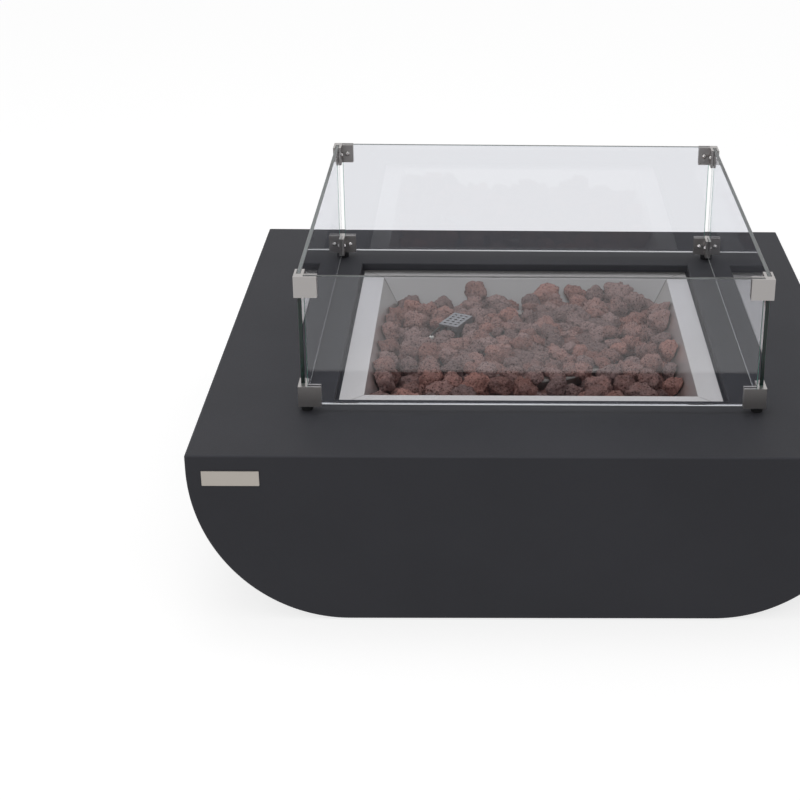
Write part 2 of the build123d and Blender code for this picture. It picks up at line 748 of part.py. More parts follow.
# room for the burner's pieces: its tubes lie in grooves that open at the bottom
with BuildPart() as burner_room:
    with BuildSketch(Plane.XZ):
        for ring_radius in (outer_ring_radius, inner_ring_radius):
            with Locations((ring_radius, pan_floor_z)):
                groove = (ring_section + 2 * piece_gap, burner_top_z + piece_gap - pan_floor_z)
                Rectangle(*groove, align=(Align.CENTER, Align.MIN))
    revolve(axis=Axis.Z)
    with BuildSketch(Plane.YZ):
        with Locations((0, pan_floor_z)):
            groove = (cross_tube_diameter + 2 * piece_gap, burner_lift + cross_tube_diameter / 2 + piece_gap)
            Rectangle(*groove, align=(Align.CENTER, Align.MIN))
    extrude(amount=outer_ring_radius, both=True)
    with BuildSketch(Plane.XY.offset(pan_floor_z)):
        Circle(hub_diameter / 2 + piece_gap)
        with Locations((electrode_place.X, electrode_place.Y)):
            Circle(insulator_shoulder / 2 + piece_gap)
        with Locations((probe_place.X, probe_place.Y)):
            Circle(probe_diameter + 2 * piece_gap)
    extrude(amount=2 * rock_crown)
    with BuildSketch(hood_plane):
        Rectangle(hood_width + 2 * hood_foot + 2 * piece_gap, hood_length + 2 * piece_gap)
        # the electrode's rod reaches over to the hood here
        with Locations((-hood_width / 2, -hood_length / 2)):
            Rectangle(hood_width / 2, hood_length / 2, align=(Align.CENTER, Align.MAX))
    extrude(amount=2 * rock_crown)

with BuildPart() as lava_rock_bed:
    with BuildSketch(Plane.XY.offset(pan_floor_z)):
        Rectangle(bed_foot, bed_foot)
    extrude(amount=bed_height, taper=-degrees(atan2(pan_slope, 2)))
    add([lava_lump.part.moved(place) for place in rock_places()])
    add(burner_room.part, mode=Mode.SUBTRACT)
    # the sloping walls of the pan hold the fill
    with BuildSketch(Plane.XY.offset(pan_floor_z)):
        Rectangle(bed_foot, bed_foot)
    extrude(amount=2 * rock_size, taper=-degrees(atan2(pan_slope, 2)), mode=Mode.INTERSECT)
lava_rock_bed.part.label = "lava_rock_bed"
export_step(lava_rock_bed.part, "parts/lava_rock_bed.step")

# ----------------------------------------------------------------------------------------------
# Control box in the back wall
# ----------------------------------------------------------------------------------------------

# the panel, with holes for the stem, the igniter and the inlet
with BuildPart() as control_panel:
    with BuildSketch(back_plane(panel_back_y)):
        with Locations((0, box_centre_z)):
            Rectangle(box_inner_width, box_inner_height)
        with Locations((-knob_x, box_centre_z)):
            Circle(stem_diameter / 2 + running_gap, mode=Mode.SUBTRACT)
        with Locations((-igniter_x, igniter_z)):
            Circle(barrel_diameter / 2 + fit_gap, mode=Mode.SUBTRACT)
        with Locations((-inlet_x, inlet_z)):
            Circle(inlet_thread_diameter / 2 + fit_gap, mode=Mode.SUBTRACT)
    extrude(amount=box_sheet)
control_panel.part.label = "control_panel"
export_step(control_panel.part, "parts/control_panel.step")

# the box around it is four folds, each a wall and its flange, mitred and welded at the corners
with BuildPart() as box_frame:
    with BuildSketch(back_plane(half_side)):
        with Locations((0, box_centre_z)):
            RectangleRounded(box_width + 2 * box_flange, box_height + 2 * box_flange, box_corner)
            with GridLocations(box_width + box_flange, box_height + box_flange, 2, 2):
                Circle(panel_screw_diameter / 2 + fit_gap, mode=Mode.SUBTRACT)
    extrude(amount=box_sheet)
    with BuildSketch(back_plane(panel_back_y)):
        with Locations((0, box_centre_z)):
            Rectangle(box_width, box_height)
    extrude(amount=half_side - panel_back_y)
    with BuildSketch(back_plane(panel_back_y)):
        with Locations((0, box_centre_z)):
            Rectangle(box_inner_width, box_inner_height)
    extrude(amount=box_depth + box_sheet, mode=Mode.SUBTRACT)

# how far the mitres reach out from the box's middle line, and where they meet on it
mitre_reach = box_height / 2 + 2 * box_flange
mitre_meet = (box_width - box_height) / 2
for side, across in {"left": -1, "right": 1}.items():
    with BuildPart() as box_side:
        add(box_frame.part)
        with BuildSketch(Plane.XZ.offset(-panel_back_y)):
            with BuildLine():
                Polyline(
                    (across * mitre_meet, box_centre_z),
                    (across * (mitre_meet + mitre_reach), box_centre_z + mitre_reach),
                    (across * (mitre_meet + mitre_reach), box_centre_z - mitre_reach),
                    close=True,
                )
            make_face()
        extrude(amount=-box_depth - box_sheet, mode=Mode.INTERSECT)
    box_side.part.label = f"box_side_{side}"
    export_step(box_side.part, f"parts/box_side_{side}.step")
for side, up in {"bottom": -1, "top": 1}.items():
    with BuildPart() as box_side:
        add(box_frame.part)
        with BuildSketch(Plane.XZ.offset(-panel_back_y)):
            with BuildLine():
                Polyline(
                    (-mitre_meet, box_centre_z),
                    (-mitre_meet - mitre_reach, box_centre_z + up * mitre_reach),
                    (mitre_meet + mitre_reach, box_centre_z + up * mitre_reach),
                    (mitre_meet, box_centre_z),
                    close=True,
                )
            make_face()
        extrude(amount=-box_depth - box_sheet, mode=Mode.INTERSECT)
    box_side.part.label = f"box_side_{side}"
    export_step(box_side.part, f"parts/box_side_{side}.step")

with BuildPart() as panel_screws:
    with BuildSketch(back_plane(half_side + box_sheet)):
        with Locations((0, box_centre_z)):
            with GridLocations(box_width + box_flange, box_height + box_flange, 2, 2):
                Circle(panel_head_diameter / 2)
    extrude(amount=panel_head_height)
    fillet(panel_screws.faces().filter_by(Axis.Y).group_by(Axis.Y)[-1].edges(), radius=panel_head_round)
    with BuildSketch(back_plane(half_side + box_sheet)):
        with Locations((0, box_centre_z)):
            with GridLocations(box_width + box_flange, box_height + box_flange, 2, 2):
                Circle(panel_screw_diameter / 2)
    extrude(amount=-panel_screw_length)
panel_screws.part.label = "panel_screws"
export_step(panel_screws.part, "parts/panel_screws.step")

# ----------------------------------------------------------------------------------------------
# Gas valve: body, push washer, stem and knob
# ----------------------------------------------------------------------------------------------

valve_middle_y = (valve_front_y + valve_back_y) / 2
washer_back_y = valve_front_y + push_travel + running_gap
washer_front_y = washer_back_y + washer_thickness
stem_inner_y = washer_front_y + running_gap
knob_back_y = panel_y + knob_stand_off
knob_front_y = knob_back_y + knob_height

with BuildPart() as gas_valve:
    with Locations((knob_x, valve_middle_y, box_centre_z)):
        Box(valve_width, valve_depth, valve_height)
    fillet(gas_valve.edges().filter_by(Axis.Y), radius=valve_height / 8)
    with BuildSketch(back_plane(valve_front_y)):
        with Locations((-knob_x, box_centre_z)):
            Circle(bonnet_diameter / 2)
    extrude(amount=bonnet_length)
    # ports: inlet at the side, outlet at the back, thermocouple underneath
    with BuildSketch(Plane.YZ.offset(knob_x - valve_width / 2)):
        with Locations((valve_middle_y, inlet_z)):
            Circle(valve_port_diameter / 2)
    extrude(amount=-valve_port_length)
    with BuildSketch(back_plane(valve_back_y)):
        with Locations((-knob_x, box_centre_z)):
            Circle(valve_port_diameter / 2)
    extrude(amount=-valve_port_length)
    with BuildSketch(Plane.XY.offset(box_centre_z - valve_height / 2)):
        with Locations((knob_x, valve_middle_y)):
            Circle(valve_port_diameter / 2)
    extrude(amount=-valve_port_length)
    # chamber for the push washer, closed in front by the bonnet's neck
    with BuildSketch(back_plane(valve_front_y)):
        with Locations((-knob_x, box_centre_z)):
            Circle(washer_diameter / 2 + running_gap)
    extrude(amount=push_travel + washer_thickness + 3 * running_gap, mode=Mode.SUBTRACT)
    with BuildSketch(back_plane(valve_front_y)):
        with Locations((-knob_x, box_centre_z)):
            Circle(stem_diameter / 2 + fit_gap)
    extrude(amount=bonnet_length, mode=Mode.SUBTRACT)
gas_valve.part.label = "gas_valve"
export_step(gas_valve.part, "parts/gas_valve.step")

with BuildPart() as push_washer:
    with BuildSketch(back_plane(washer_back_y)):
        with Locations((-knob_x, box_centre_z)):
            Circle(washer_diameter / 2)
    extrude(amount=washer_thickness)
    with BuildSketch(back_plane(washer_front_y)):
        with Locations((-knob_x, box_centre_z)):
            Circle(spigot_diameter / 2)
    extrude(amount=spigot_length)
push_washer.part.label = "push_washer"
export_step(push_washer.part, "parts/push_washer.step")

stem_outer_y = knob_back_y + stem_in_knob
with BuildPart() as valve_stem:
    with BuildSketch(back_plane(stem_inner_y)):
        with Locations((-knob_x, box_centre_z)):
            Circle(stem_diameter / 2)
    extrude(amount=stem_outer_y - stem_inner_y)
    with BuildSketch(back_plane(stem_inner_y)):
        with Locations((-knob_x, box_centre_z)):
            Circle(spigot_diameter / 2 + fit_gap)
    extrude(amount=spigot_length + running_gap, mode=Mode.SUBTRACT)
    # flat for the knob
    with BuildSketch(back_plane(knob_back_y)):
        with Locations((-knob_x, box_centre_z + stem_diameter - stem_flat)):
            Rectangle(stem_diameter, stem_diameter)
    extrude(amount=knob_height, mode=Mode.SUBTRACT)
valve_stem.part.label = "valve_stem"
export_step(valve_stem.part, "parts/valve_stem.step")

with BuildPart() as control_knob:
    with BuildSketch(back_plane(knob_back_y)):
        with Locations((-knob_x, box_centre_z)):
            Circle(knob_diameter / 2)
    extrude(amount=knob_skirt_height)
    with BuildSketch(back_plane(knob_back_y + knob_skirt_height)):
        with Locations((-knob_x, box_centre_z)):
            Circle(knob_grip_diameter / 2)
    extrude(amount=knob_height - knob_skirt_height, taper=knob_grip_taper)
    fillet(control_knob.faces().sort_by(Axis.Y)[-1].edges(), radius=knob_edge)
    # grip flutes round the skirt, and a raised pointer
    with BuildSketch(back_plane(knob_front_y)):
        with Locations((-knob_x, box_centre_z)):
            with PolarLocations(flute_circle / 2, knob_grips, start_angle=90 + 180 / knob_grips):
                Circle(flute_diameter / 2)
    extrude(amount=knob_skirt_height - knob_height, mode=Mode.SUBTRACT)
    with BuildSketch(back_plane(knob_front_y)):
        with Locations((-knob_x, box_centre_z + pointer_offset)):
            RectangleRounded(pointer_width, pointer_length, pointer_corner)
    extrude(amount=pointer_height)
    with BuildSketch(back_plane(knob_back_y)):
        with Locations((-knob_x, box_centre_z)):
            Circle(stem_diameter / 2 + fit_gap)
        with Locations((-knob_x, box_centre_z + stem_diameter - stem_flat + fit_gap)):
            Rectangle(stem_diameter * 1.2, stem_diameter, mode=Mode.SUBTRACT)
    extrude(amount=stem_outer_y - knob_back_y, mode=Mode.SUBTRACT)
control_knob.part.label = "control_knob"
export_step(control_knob.part, "parts/control_knob.step")

# ----------------------------------------------------------------------------------------------
# Pulse igniter: barrel, cell, locknut and button
# ----------------------------------------------------------------------------------------------

button_back_y = panel_y + bezel_height - button_travel * 2
button_front_y = panel_y + bezel_height + button_stand_out
cell_front_y = button_back_y - button_travel - 4 * running_gap

with BuildPart() as igniter_barrel:
    with BuildSketch(back_plane(barrel_end_y)):
        with Locations((-igniter_x, igniter_z)):
            Circle(barrel_diameter / 2)
    extrude(amount=panel_y - barrel_end_y)
    with BuildSketch(back_plane(panel_y)):
        with Locations((-igniter_x, igniter_z)):
            Circle(bezel_diameter / 2)
    extrude(amount=bezel_height)
    fillet(igniter_barrel.faces().sort_by(Axis.Y)[-1].edges(), radius=bezel_height / 2)
    with BuildSketch(back_plane(cell_front_y - cell_length)):
        with Locations((-igniter_x, igniter_z)):
            Circle(barrel_bore / 2)
    extrude(amount=panel_y + bezel_height - cell_front_y + cell_length, mode=Mode.SUBTRACT)
    # terminal blades at the inner end
    with BuildSketch(back_plane(barrel_end_y)):
        with Locations((-igniter_x, igniter_z)):
            with GridLocations(terminal_spacing, 0, 2, 1):
                Rectangle(terminal_width, terminal_sheet)
    extrude(amount=-terminal_length)
igniter_barrel.part.label = "igniter_barrel"
export_step(igniter_barrel.part, "parts/igniter_barrel.step")

with BuildPart() as igniter_cell:
    with BuildSketch(back_plane(cell_front_y - cell_length)):
        with Locations((-igniter_x, igniter_z)):
            Circle(cell_diameter / 2)
    extrude(amount=cell_length - cell_nub_height)
    with BuildSketch(back_plane(cell_front_y - cell_nub_height)):
        with Locations((-igniter_x, igniter_z)):
            Circle(cell_nub_diameter / 2)
    extrude(amount=cell_nub_height)
igniter_cell.part.label = "igniter_cell"
export_step(igniter_cell.part, "parts/igniter_cell.step")

with BuildPart() as igniter_nut:
    with BuildSketch(back_plane(panel_back_y)):
        with Locations((-igniter_x, igniter_z)):
            RegularPolygon(bezel_diameter / 2, 6, major_radius=False)
            Circle(barrel_diameter / 2 + fit_gap, mode=Mode.SUBTRACT)
    extrude(amount=-bezel_height * 2)
igniter_nut.part.label = "igniter_nut"
export_step(igniter_nut.part, "parts/igniter_nut.step")

with BuildPart() as igniter_button:
    with BuildSketch(back_plane(button_back_y)):
        with Locations((-igniter_x, igniter_z)):
            Circle(button_diameter / 2)
    extrude(amount=button_front_y - button_back_y)
    fillet(igniter_button.faces().sort_by(Axis.Y)[-1].edges(), radius=button_diameter / 10)
igniter_button.part.label = "igniter_button"
export_step(igniter_button.part, "parts/igniter_button.step")

# ----------------------------------------------------------------------------------------------
# Gas inlet
# ----------------------------------------------------------------------------------------------

with BuildPart() as gas_inlet:
    with BuildSketch(back_plane(panel_y)):
        with Locations((-inlet_x, inlet_z)):
            RegularPolygon(inlet_hex / 2, 6, major_radius=False)
    extrude(amount=inlet_hex_height)
    with BuildSketch(back_plane(inlet_end_y)):
        with Locations((-inlet_x, inlet_z)):
            Circle(inlet_thread_diameter / 2)
    extrude(amount=panel_y + inlet_hex_height + inlet_thread_length - inlet_end_y)
    chamfer(gas_inlet.faces().sort_by(Axis.Y)[-1].edges(), length=inlet_thread_diameter / 8)
    with BuildSketch(back_plane(panel_y + inlet_hex_height + inlet_thread_length)):
        with Locations((-inlet_x, inlet_z)):
            Circle(inlet_bore / 2)
    extrude(amount=-inlet_thread_length, mode=Mode.SUBTRACT)
gas_inlet.part.label = "gas_inlet"
export_step(gas_inlet.part, "parts/gas_inlet.step")

with BuildPart() as inlet_locknut:
    with BuildSketch(back_plane(panel_back_y)):
        with Locations((-inlet_x, inlet_z)):
            RegularPolygon(inlet_hex / 2, 6, major_radius=False)
            Circle(inlet_thread_diameter / 2 + fit_gap, mode=Mode.SUBTRACT)
    extrude(amount=-inlet_hex_height)
inlet_locknut.part.label = "inlet_locknut"
export_step(inlet_locknut.part, "parts/inlet_locknut.step")

valve_inlet_x = knob_x - valve_width / 2 - valve_port_length
inlet_tube_points = [
    (inlet_x, inlet_end_y, inlet_z),
    (inlet_x, valve_middle_y, inlet_z),
    (valve_inlet_x, valve_middle_y, inlet_z),
]
with BuildPart() as inlet_tube:
    with BuildLine() as inlet_tube_route:
        FilletPolyline(*inlet_tube_points, radius=inlet_tube_bend)
    with BuildSketch(Plane(origin=inlet_tube_route.line @ 0, z_dir=inlet_tube_route.line % 0)):
        Circle(inlet_tube_diameter / 2)
    sweep(path=inlet_tube_route.line)
inlet_tube.part.label = "inlet_tube"
export_step(inlet_tube.part, "parts/inlet_tube.step")

# ----------------------------------------------------------------------------------------------
# Gas line and leads from the controls to the burner
# ----------------------------------------------------------------------------------------------

valve_outlet_y = valve_back_y - valve_port_length
line_start = (0, orifice_end_y, elbow_z)
line_end = (knob_x, valve_outlet_y, box_centre_z)
line_fall = elbow_z - box_centre_z
gas_line_points = [
    line_start,
    hung(line_start, line_end, 0, 0.211, 0),
    hung(line_start, line_end, 0.267, 0.436, 0.8 * line_fall),
    hung(line_start, line_end, 0.756, 0.661, 0.7 * line_fall),
    hung(line_start, line_end, 1, 0.834, line_fall),
    line_end,
]
with BuildPart() as gas_line:
    with BuildLine() as gas_line_route:
        FilletPolyline(*gas_line_points, radius=bend_radii(gas_line_points))
    with BuildSketch(Plane(origin=gas_line_route.line @ 0, z_dir=gas_line_route.line % 0)):
        Circle(gas_line_diameter / 2)
    sweep(path=gas_line_route.line)
gas_line.part.label = "gas_line"
export_step(gas_line.part, "parts/gas_line.step")

with BuildPart() as flare_nuts:
    for nut_plane, nut_x, nut_z in (
        (Plane.XZ.offset(-orifice_end_y), 0, elbow_z),
        (Plane.XZ.offset(flare_nut_length - valve_outlet_y), knob_x, box_centre_z),
    ):
        with BuildSketch(nut_plane):
            with Locations((nut_x, nut_z)):
                RegularPolygon(flare_nut_hex / 2, 6, major_radius=False)
                Circle(gas_line_diameter / 2 + fit_gap, mode=Mode.SUBTRACT)
        extrude(amount=-flare_nut_length)
flare_nuts.part.label = "flare_nuts"
export_step(flare_nuts.part, "parts/flare_nuts.step")

probe_end = (probe_place.X, probe_place.Y, pan_floor_z - probe_tail)
valve_end = (knob_x, valve_middle_y, box_centre_z - valve_height / 2 - valve_port_length)
probe_lead_points = [
    probe_end,
    hung(probe_end, valve_end, 0, 0, lead_drop),
    hung(probe_end, valve_end, 0.084, 0.106, 0.51 * probe_lead_sag),
    hung(probe_end, valve_end, 0.294, 0.262, 0.667 * probe_lead_sag),
    hung(probe_end, valve_end, 0.482, 0.42, 0.84 * probe_lead_sag),
    hung(probe_end, valve_end, 0.715, 0.578, 0.92 * probe_lead_sag),
    hung(probe_end, valve_end, 0.875, 0.743, probe_lead_sag),
    hung(probe_end, valve_end, 0.982, 0.899, 0.978 * probe_lead_sag),
    hung(probe_end, valve_end, 1, 1, 0.844 * probe_lead_sag),
    valve_end,
]
with BuildPart() as thermocouple_lead:
    with BuildLine() as probe_lead_route:
        FilletPolyline(*probe_lead_points, radius=bend_radii(probe_lead_points))
    with BuildSketch(Plane(origin=probe_lead_route.line @ 0, z_dir=probe_lead_route.line % 0)):
        Circle(probe_lead_diameter / 2)
    sweep(path=probe_lead_route.line)
thermocouple_lead.part.label = "thermocouple_lead"
export_step(thermocouple_lead.part, "parts/thermocouple_lead.step")

terminal_x = igniter_x - terminal_spacing / 2
rod_end = rod_points[0]
terminal_end = (terminal_x, barrel_end_y - terminal_length, igniter_z)
spark_lead_points = [
    rod_end,
    hung(rod_end, terminal_end, 0, 0, lead_drop),
    hung(rod_end, terminal_end, 0.039, 0.117, 0.854 * spark_lead_sag),
    hung(rod_end, terminal_end, 0.142, 0.245, spark_lead_sag),
    hung(rod_end, terminal_end, 0.298, 0.378, 0.964 * spark_lead_sag),
    hung(rod_end, terminal_end, 0.479, 0.517, 0.818 * spark_lead_sag),
    hung(rod_end, terminal_end, 0.673, 0.65, 0.58 * spark_lead_sag),
    hung(rod_end, terminal_end, 0.841, 0.772, 0.307 * spark_lead_sag),
    hung(rod_end, terminal_end, 0.958, 0.879, 0.088 * spark_lead_sag),
    (terminal_x, terminal_end[1] - 2 * terminal_length, igniter_z),
    terminal_end,
]
with BuildPart() as ignition_lead:
    with BuildLine() as spark_lead_route:
        FilletPolyline(*spark_lead_points, radius=bend_radii(spark_lead_points))
    with BuildSketch(Plane(origin=spark_lead_route.line @ 0, z_dir=spark_lead_route.line % 0)):
        Circle(spark_lead_diameter / 2)
    sweep(path=spark_lead_route.line)
ignition_lead.part.label = "ignition_lead"
export_step(ignition_lead.part, "parts/ignition_lead.step")

# ----------------------------------------------------------------------------------------------
# Wind guard: four glass panels in eight corner clamps, on four rubber feet
# ----------------------------------------------------------------------------------------------

with BuildSketch() as clamp_leg_outline:
    Rectangle(clamp_leg, clamp_leg_width, align=(Align.MIN, Align.MIN))
    Rectangle(clamp_leg_width, clamp_leg, align=(Align.MIN, Align.MIN))
    fillet(clamp_leg_outline.vertices().sort_by_distance((0, 0))[0], radius=clamp_edge)

with BuildSketch() as clamp_slots:
    slot_reach = clamp_leg - clamp_leg_width
    with Locations((clamp_leg_width, clamp_outer_wall)):
        Rectangle(slot_reach, slot_width, align=(Align.MIN, Align.MIN))
    with Locations((clamp_outer_wall, clamp_leg_width)):
        Rectangle(slot_width, slot_reach, align=(Align.MIN, Align.MIN))

screw_along = (clamp_leg_width + clamp_leg) / 2  # from the guard's outer corner
screw_face = clamp_leg_width
for level, clamp_z, floor in (("lower", lower_clamp_z, clamp_floor), ("upper", upper_clamp_z, 0)):
    for corner, (side_x, side_y) in CORNERS.items():
        corner_plane = guard_corner_plane(side_x, side_y, clamp_z)
        with BuildPart() as clamp:
            extrude(corner_plane.location * clamp_leg_outline.sketch, amount=clamp_height)
            extrude(
                corner_plane.offset(floor).location * clamp_slots.sketch,
                amount=clamp_height - floor,
                mode=Mode.SUBTRACT,
            )
            # screw holes through the two inner walls
            for turn in (0, 90):
                leg_x = (screw_along, screw_face) if turn == 0 else (screw_face, screw_along)
                hole_start = corner_plane.from_local_coords((*leg_x, clamp_height / 2))
                outward = corner_plane.y_dir if turn == 0 else corner_plane.x_dir
                with BuildSketch(Plane(origin=hole_start, z_dir=outward)):
                    Circle(clamp_screw_diameter / 2 + fit_gap)
                extrude(amount=-clamp_inner_wall, mode=Mode.SUBTRACT)
            if level == "lower":
                with BuildSketch(corner_plane):
                    with Locations((guard_foot_inset, guard_foot_inset)):
                        Circle(foot_screw_diameter / 2 + fit_gap)
                extrude(amount=foot_screw_reach, mode=Mode.SUBTRACT)
        clamp.part.label = f"{level}_clamp_{corner}"
        export_step(clamp.part, f"parts/{clamp.part.label}.step")

with BuildPart() as clamp_screws:
    for clamp_z in (lower_clamp_z, upper_clamp_z):
        for side_x, side_y in CORNERS.values():
            corner_plane = guard_corner_plane(side_x, side_y, clamp_z)
            for turn in (0, 90):
                leg_x = (screw_along, screw_face) if turn == 0 else (screw_face, screw_along)
                head_seat = corner_plane.from_local_coords((*leg_x, clamp_height / 2))
                outward = corner_plane.y_dir if turn == 0 else corner_plane.x_dir
                with BuildSketch(Plane(origin=head_seat, z_dir=outward)):
                    Circle(clamp_screw_diameter / 2)
                extrude(amount=-clamp_inner_wall - running_gap)
                with BuildSketch(Plane(origin=head_seat, z_dir=outward)):
                    Circle(clamp_head_diameter / 2)
                extrude(amount=clamp_head_height, taper=clamp_head_taper)
clamp_screws.part.label = "clamp_screws"
export_step(clamp_screws.part, "parts/clamp_screws.step")

PANES = {"front": (0, -1), "back": (0, 1), "left": (-1, 0), "right": (1, 0)}
for side, (side_x, side_y) in PANES.items():
    pane_x = glass_length if side_y else glass_thickness
    pane_y = glass_thickness if side_y else glass_length
    with BuildPart() as glass_pane:
        with BuildSketch(Plane.XY.offset(glass_z)):
            with Locations((side_x * glass_centre, side_y * glass_centre)):
                Rectangle(pane_x, pane_y)
        extrude(amount=glass_height)
        chamfer(glass_pane.edges(), length=glass_arris)
    glass_pane.part.label = f"glass_{side}"
    export_step(glass_pane.part, f"parts/{glass_pane.part.label}.step")

for corner, (side_x, side_y) in CORNERS.items():
    foot_plane = guard_corner_plane(side_x, side_y, top_z)
    with BuildPart() as guard_foot:
        with BuildSketch(foot_plane):
            with Locations((guard_foot_inset, guard_foot_inset)):
                Circle(guard_foot_diameter / 2)
        extrude(amount=guard_foot_height)
        chamfer(guard_foot.faces().sort_by(Axis.Z)[0].edges(), length=guard_foot_edge)
        with BuildSketch(foot_plane):
            with Locations((guard_foot_inset, guard_foot_inset)):
                Circle(foot_screw_diameter / 2 + fit_gap)
        extrude(amount=guard_foot_height, mode=Mode.SUBTRACT)
        with BuildSketch(foot_plane):
            with Locations((guard_foot_inset, guard_foot_inset)):
                Circle(foot_head_diameter / 2 + fit_gap)
        extrude(amount=foot_head_height * 2, mode=Mode.SUBTRACT)
    guard_foot.part.label = f"guard_foot_{corner}"
    export_step(guard_foot.part, f"parts/{guard_foot.part.label}.step")

with BuildPart() as foot_screws:
    head_base_z = top_z + foot_head_height
    for side_x, side_y in CORNERS.values():
        with BuildSketch(guard_corner_plane(side_x, side_y, head_base_z)):
            with Locations((guard_foot_inset, guard_foot_inset)):
                Circle(foot_head_diameter / 2)
        extrude(amount=foot_head_height)
        with BuildSketch(guard_corner_plane(side_x, side_y, head_base_z)):
            with Locations((guard_foot_inset, guard_foot_inset)):
                Circle(foot_screw_diameter / 2)
        extrude(amount=lower_clamp_z + foot_screw_reach - head_base_z)
foot_screws.part.label = "foot_screws"
export_step(foot_screws.part, "parts/foot_screws.step")

for route_name, route in (
    ("gas line", gas_line_points),
    ("thermocouple lead", probe_lead_points),
    ("ignition lead", spark_lead_points),
):
    print(route_name, "arc radii:", [round(radius, 1) for radius in bend_radii(route)])
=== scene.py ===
"""Finishes, lava fill, screw heads, glass edges and studio for the square concrete gas fire pit.

Everything is in metres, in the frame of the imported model: +Z up, -Y the front.
"""

import json
import logging
import math
from dataclasses import dataclass
from enum import Enum
from functools import cached_property
from itertools import product

import bpy
import numpy as np
from mathutils import Matrix, Vector


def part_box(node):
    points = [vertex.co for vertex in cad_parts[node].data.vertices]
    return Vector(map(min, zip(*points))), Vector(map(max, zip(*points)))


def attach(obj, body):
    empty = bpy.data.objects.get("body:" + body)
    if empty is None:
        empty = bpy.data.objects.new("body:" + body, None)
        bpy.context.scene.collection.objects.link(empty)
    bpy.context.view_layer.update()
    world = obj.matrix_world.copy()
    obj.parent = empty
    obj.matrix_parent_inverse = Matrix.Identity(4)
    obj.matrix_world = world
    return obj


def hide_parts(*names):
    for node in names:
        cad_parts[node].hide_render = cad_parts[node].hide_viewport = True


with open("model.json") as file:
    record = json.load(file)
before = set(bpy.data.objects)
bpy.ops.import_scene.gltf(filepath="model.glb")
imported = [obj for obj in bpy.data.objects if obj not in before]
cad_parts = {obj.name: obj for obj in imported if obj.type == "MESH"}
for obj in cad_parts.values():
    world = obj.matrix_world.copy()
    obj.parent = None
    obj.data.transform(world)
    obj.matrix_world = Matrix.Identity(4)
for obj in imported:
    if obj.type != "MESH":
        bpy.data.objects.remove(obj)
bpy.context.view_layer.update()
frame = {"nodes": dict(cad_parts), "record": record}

logging.basicConfig(level=logging.INFO, format="%(name)s: %(message)s")
log = logging.getLogger("fire_pit")

Triple = tuple[float, float, float]
Tree = bpy.types.NodeTree
Node = bpy.types.Node
Socket = bpy.types.NodeSocket
Operand = Socket | float

WHITE = (1.0, 1.0, 1.0, 1.0)


class Grain(Enum):
    """Which way a brushed surface was worked, as the pattern's scale along each axis."""

    ALONG_X = (1.0, 60.0, 60.0)
    ALONG_Y = (60.0, 1.0, 60.0)
    ALONG_Z = (60.0, 60.0, 1.0)


# ----------------------------------------------------------
# Node helpers
# ----------------------------------------------------------


def add_node(tree: Tree, kind: str, links: dict | None = None, **settings: object) -> Node:
    """Add a node to a tree, set it up and wire its inputs.

    Args:
        tree: The tree that takes the node.
        kind: The node's type.
        links: Input names or numbers, with a socket or a value for each.
        settings: Attributes to set on the node.

    Returns:
        The new node.
    """
    node = tree.nodes.new(kind)
    for key, value in settings.items():
        setattr(node, key, value)
    for key, value in (links or {}).items():
        if isinstance(value, Socket):
            tree.links.new(value, node.inputs[key])
        else:
            node.inputs[key].default_value = value
    return node


def output_of(tree: Tree, kind: str, links: dict | None = None, pick: int = 0,
              **settings: object) -> Socket:
    """Add a node, as add_node does, and return its output of the number pick."""
    return add_node(tree, kind, links, **settings).outputs[pick]


def reckon(tree: Tree, operation: str, first: Operand, second: Operand | None = None) -> Socket:
    """Return the result of a Math node on one or two operands."""
    links = {0: first} if second is None else {0: first, 1: second}
    return output_of(tree, "ShaderNodeMath", links, operation=operation)


def ranged(tree: Tree, value: Socket, source: tuple[Operand, Operand] = (0.0, 1.0),
           target: tuple[Operand, Operand] = (0.0, 1.0), clamp: bool = True) -> Socket:
    """Return a value mapped from one range to another.

    Args:
        tree: The tree that takes the node.
        value: What is mapped.
        source: The range that it is mapped from.
        target: The range that it is mapped to.
        clamp: Whether the result stays inside the target range.

    Returns:
        The mapped value.
    """
    links = {"Value": value, "From Min": source[0], "From Max": source[1], "To Min": target[0],
             "To Max": target[1]}
    return output_of(tree, "ShaderNodeMapRange", links, clamp=clamp)


def blend(tree: Tree, mask: Socket, under: Socket | Triple, over: Triple,
          way: str = "MIX") -> Socket:
    """Lay a colour over another by a mask.

    Args:
        tree: The tree that takes the node.
        mask: How much of the upper colour shows.
        under: The lower colour.
        over: The upper colour.
        way: The way that they blend.

    Returns:
        The blended colour.
    """
    if isinstance(under, tuple):
        under = (*under, 1.0)
    return output_of(tree, "ShaderNodeMix", {0: mask, 6: under, 7: (*over, 1.0)}, 2,
                     data_type="RGBA", blend_type=way)


def plan(tree: Tree, place: Socket) -> tuple[Socket, Socket, Socket]:
    """Return a place's distances from the middle along x and y, and its height."""
    parts = add_node(tree, "ShaderNodeSeparateXYZ", {0: place}).outputs
    return reckon(tree, "ABSOLUTE", parts[0]), reckon(tree, "ABSOLUTE", parts[1]), parts[2]


def ray(tree: Tree, kind: str) -> Socket:
    """Return a mask that is 1 for rays of a kind that the Light Path node names."""
    return add_node(tree, "ShaderNodeLightPath").outputs[kind]


def either_ray(tree: Tree, first: str, second: str) -> Socket:
    """Return a mask that is 1 for rays of either kind."""
    return reckon(tree, "MAXIMUM", ray(tree, first), ray(tree, second))


# ----------------------------------------------------------
# Shader groups that several finishes share
# ----------------------------------------------------------


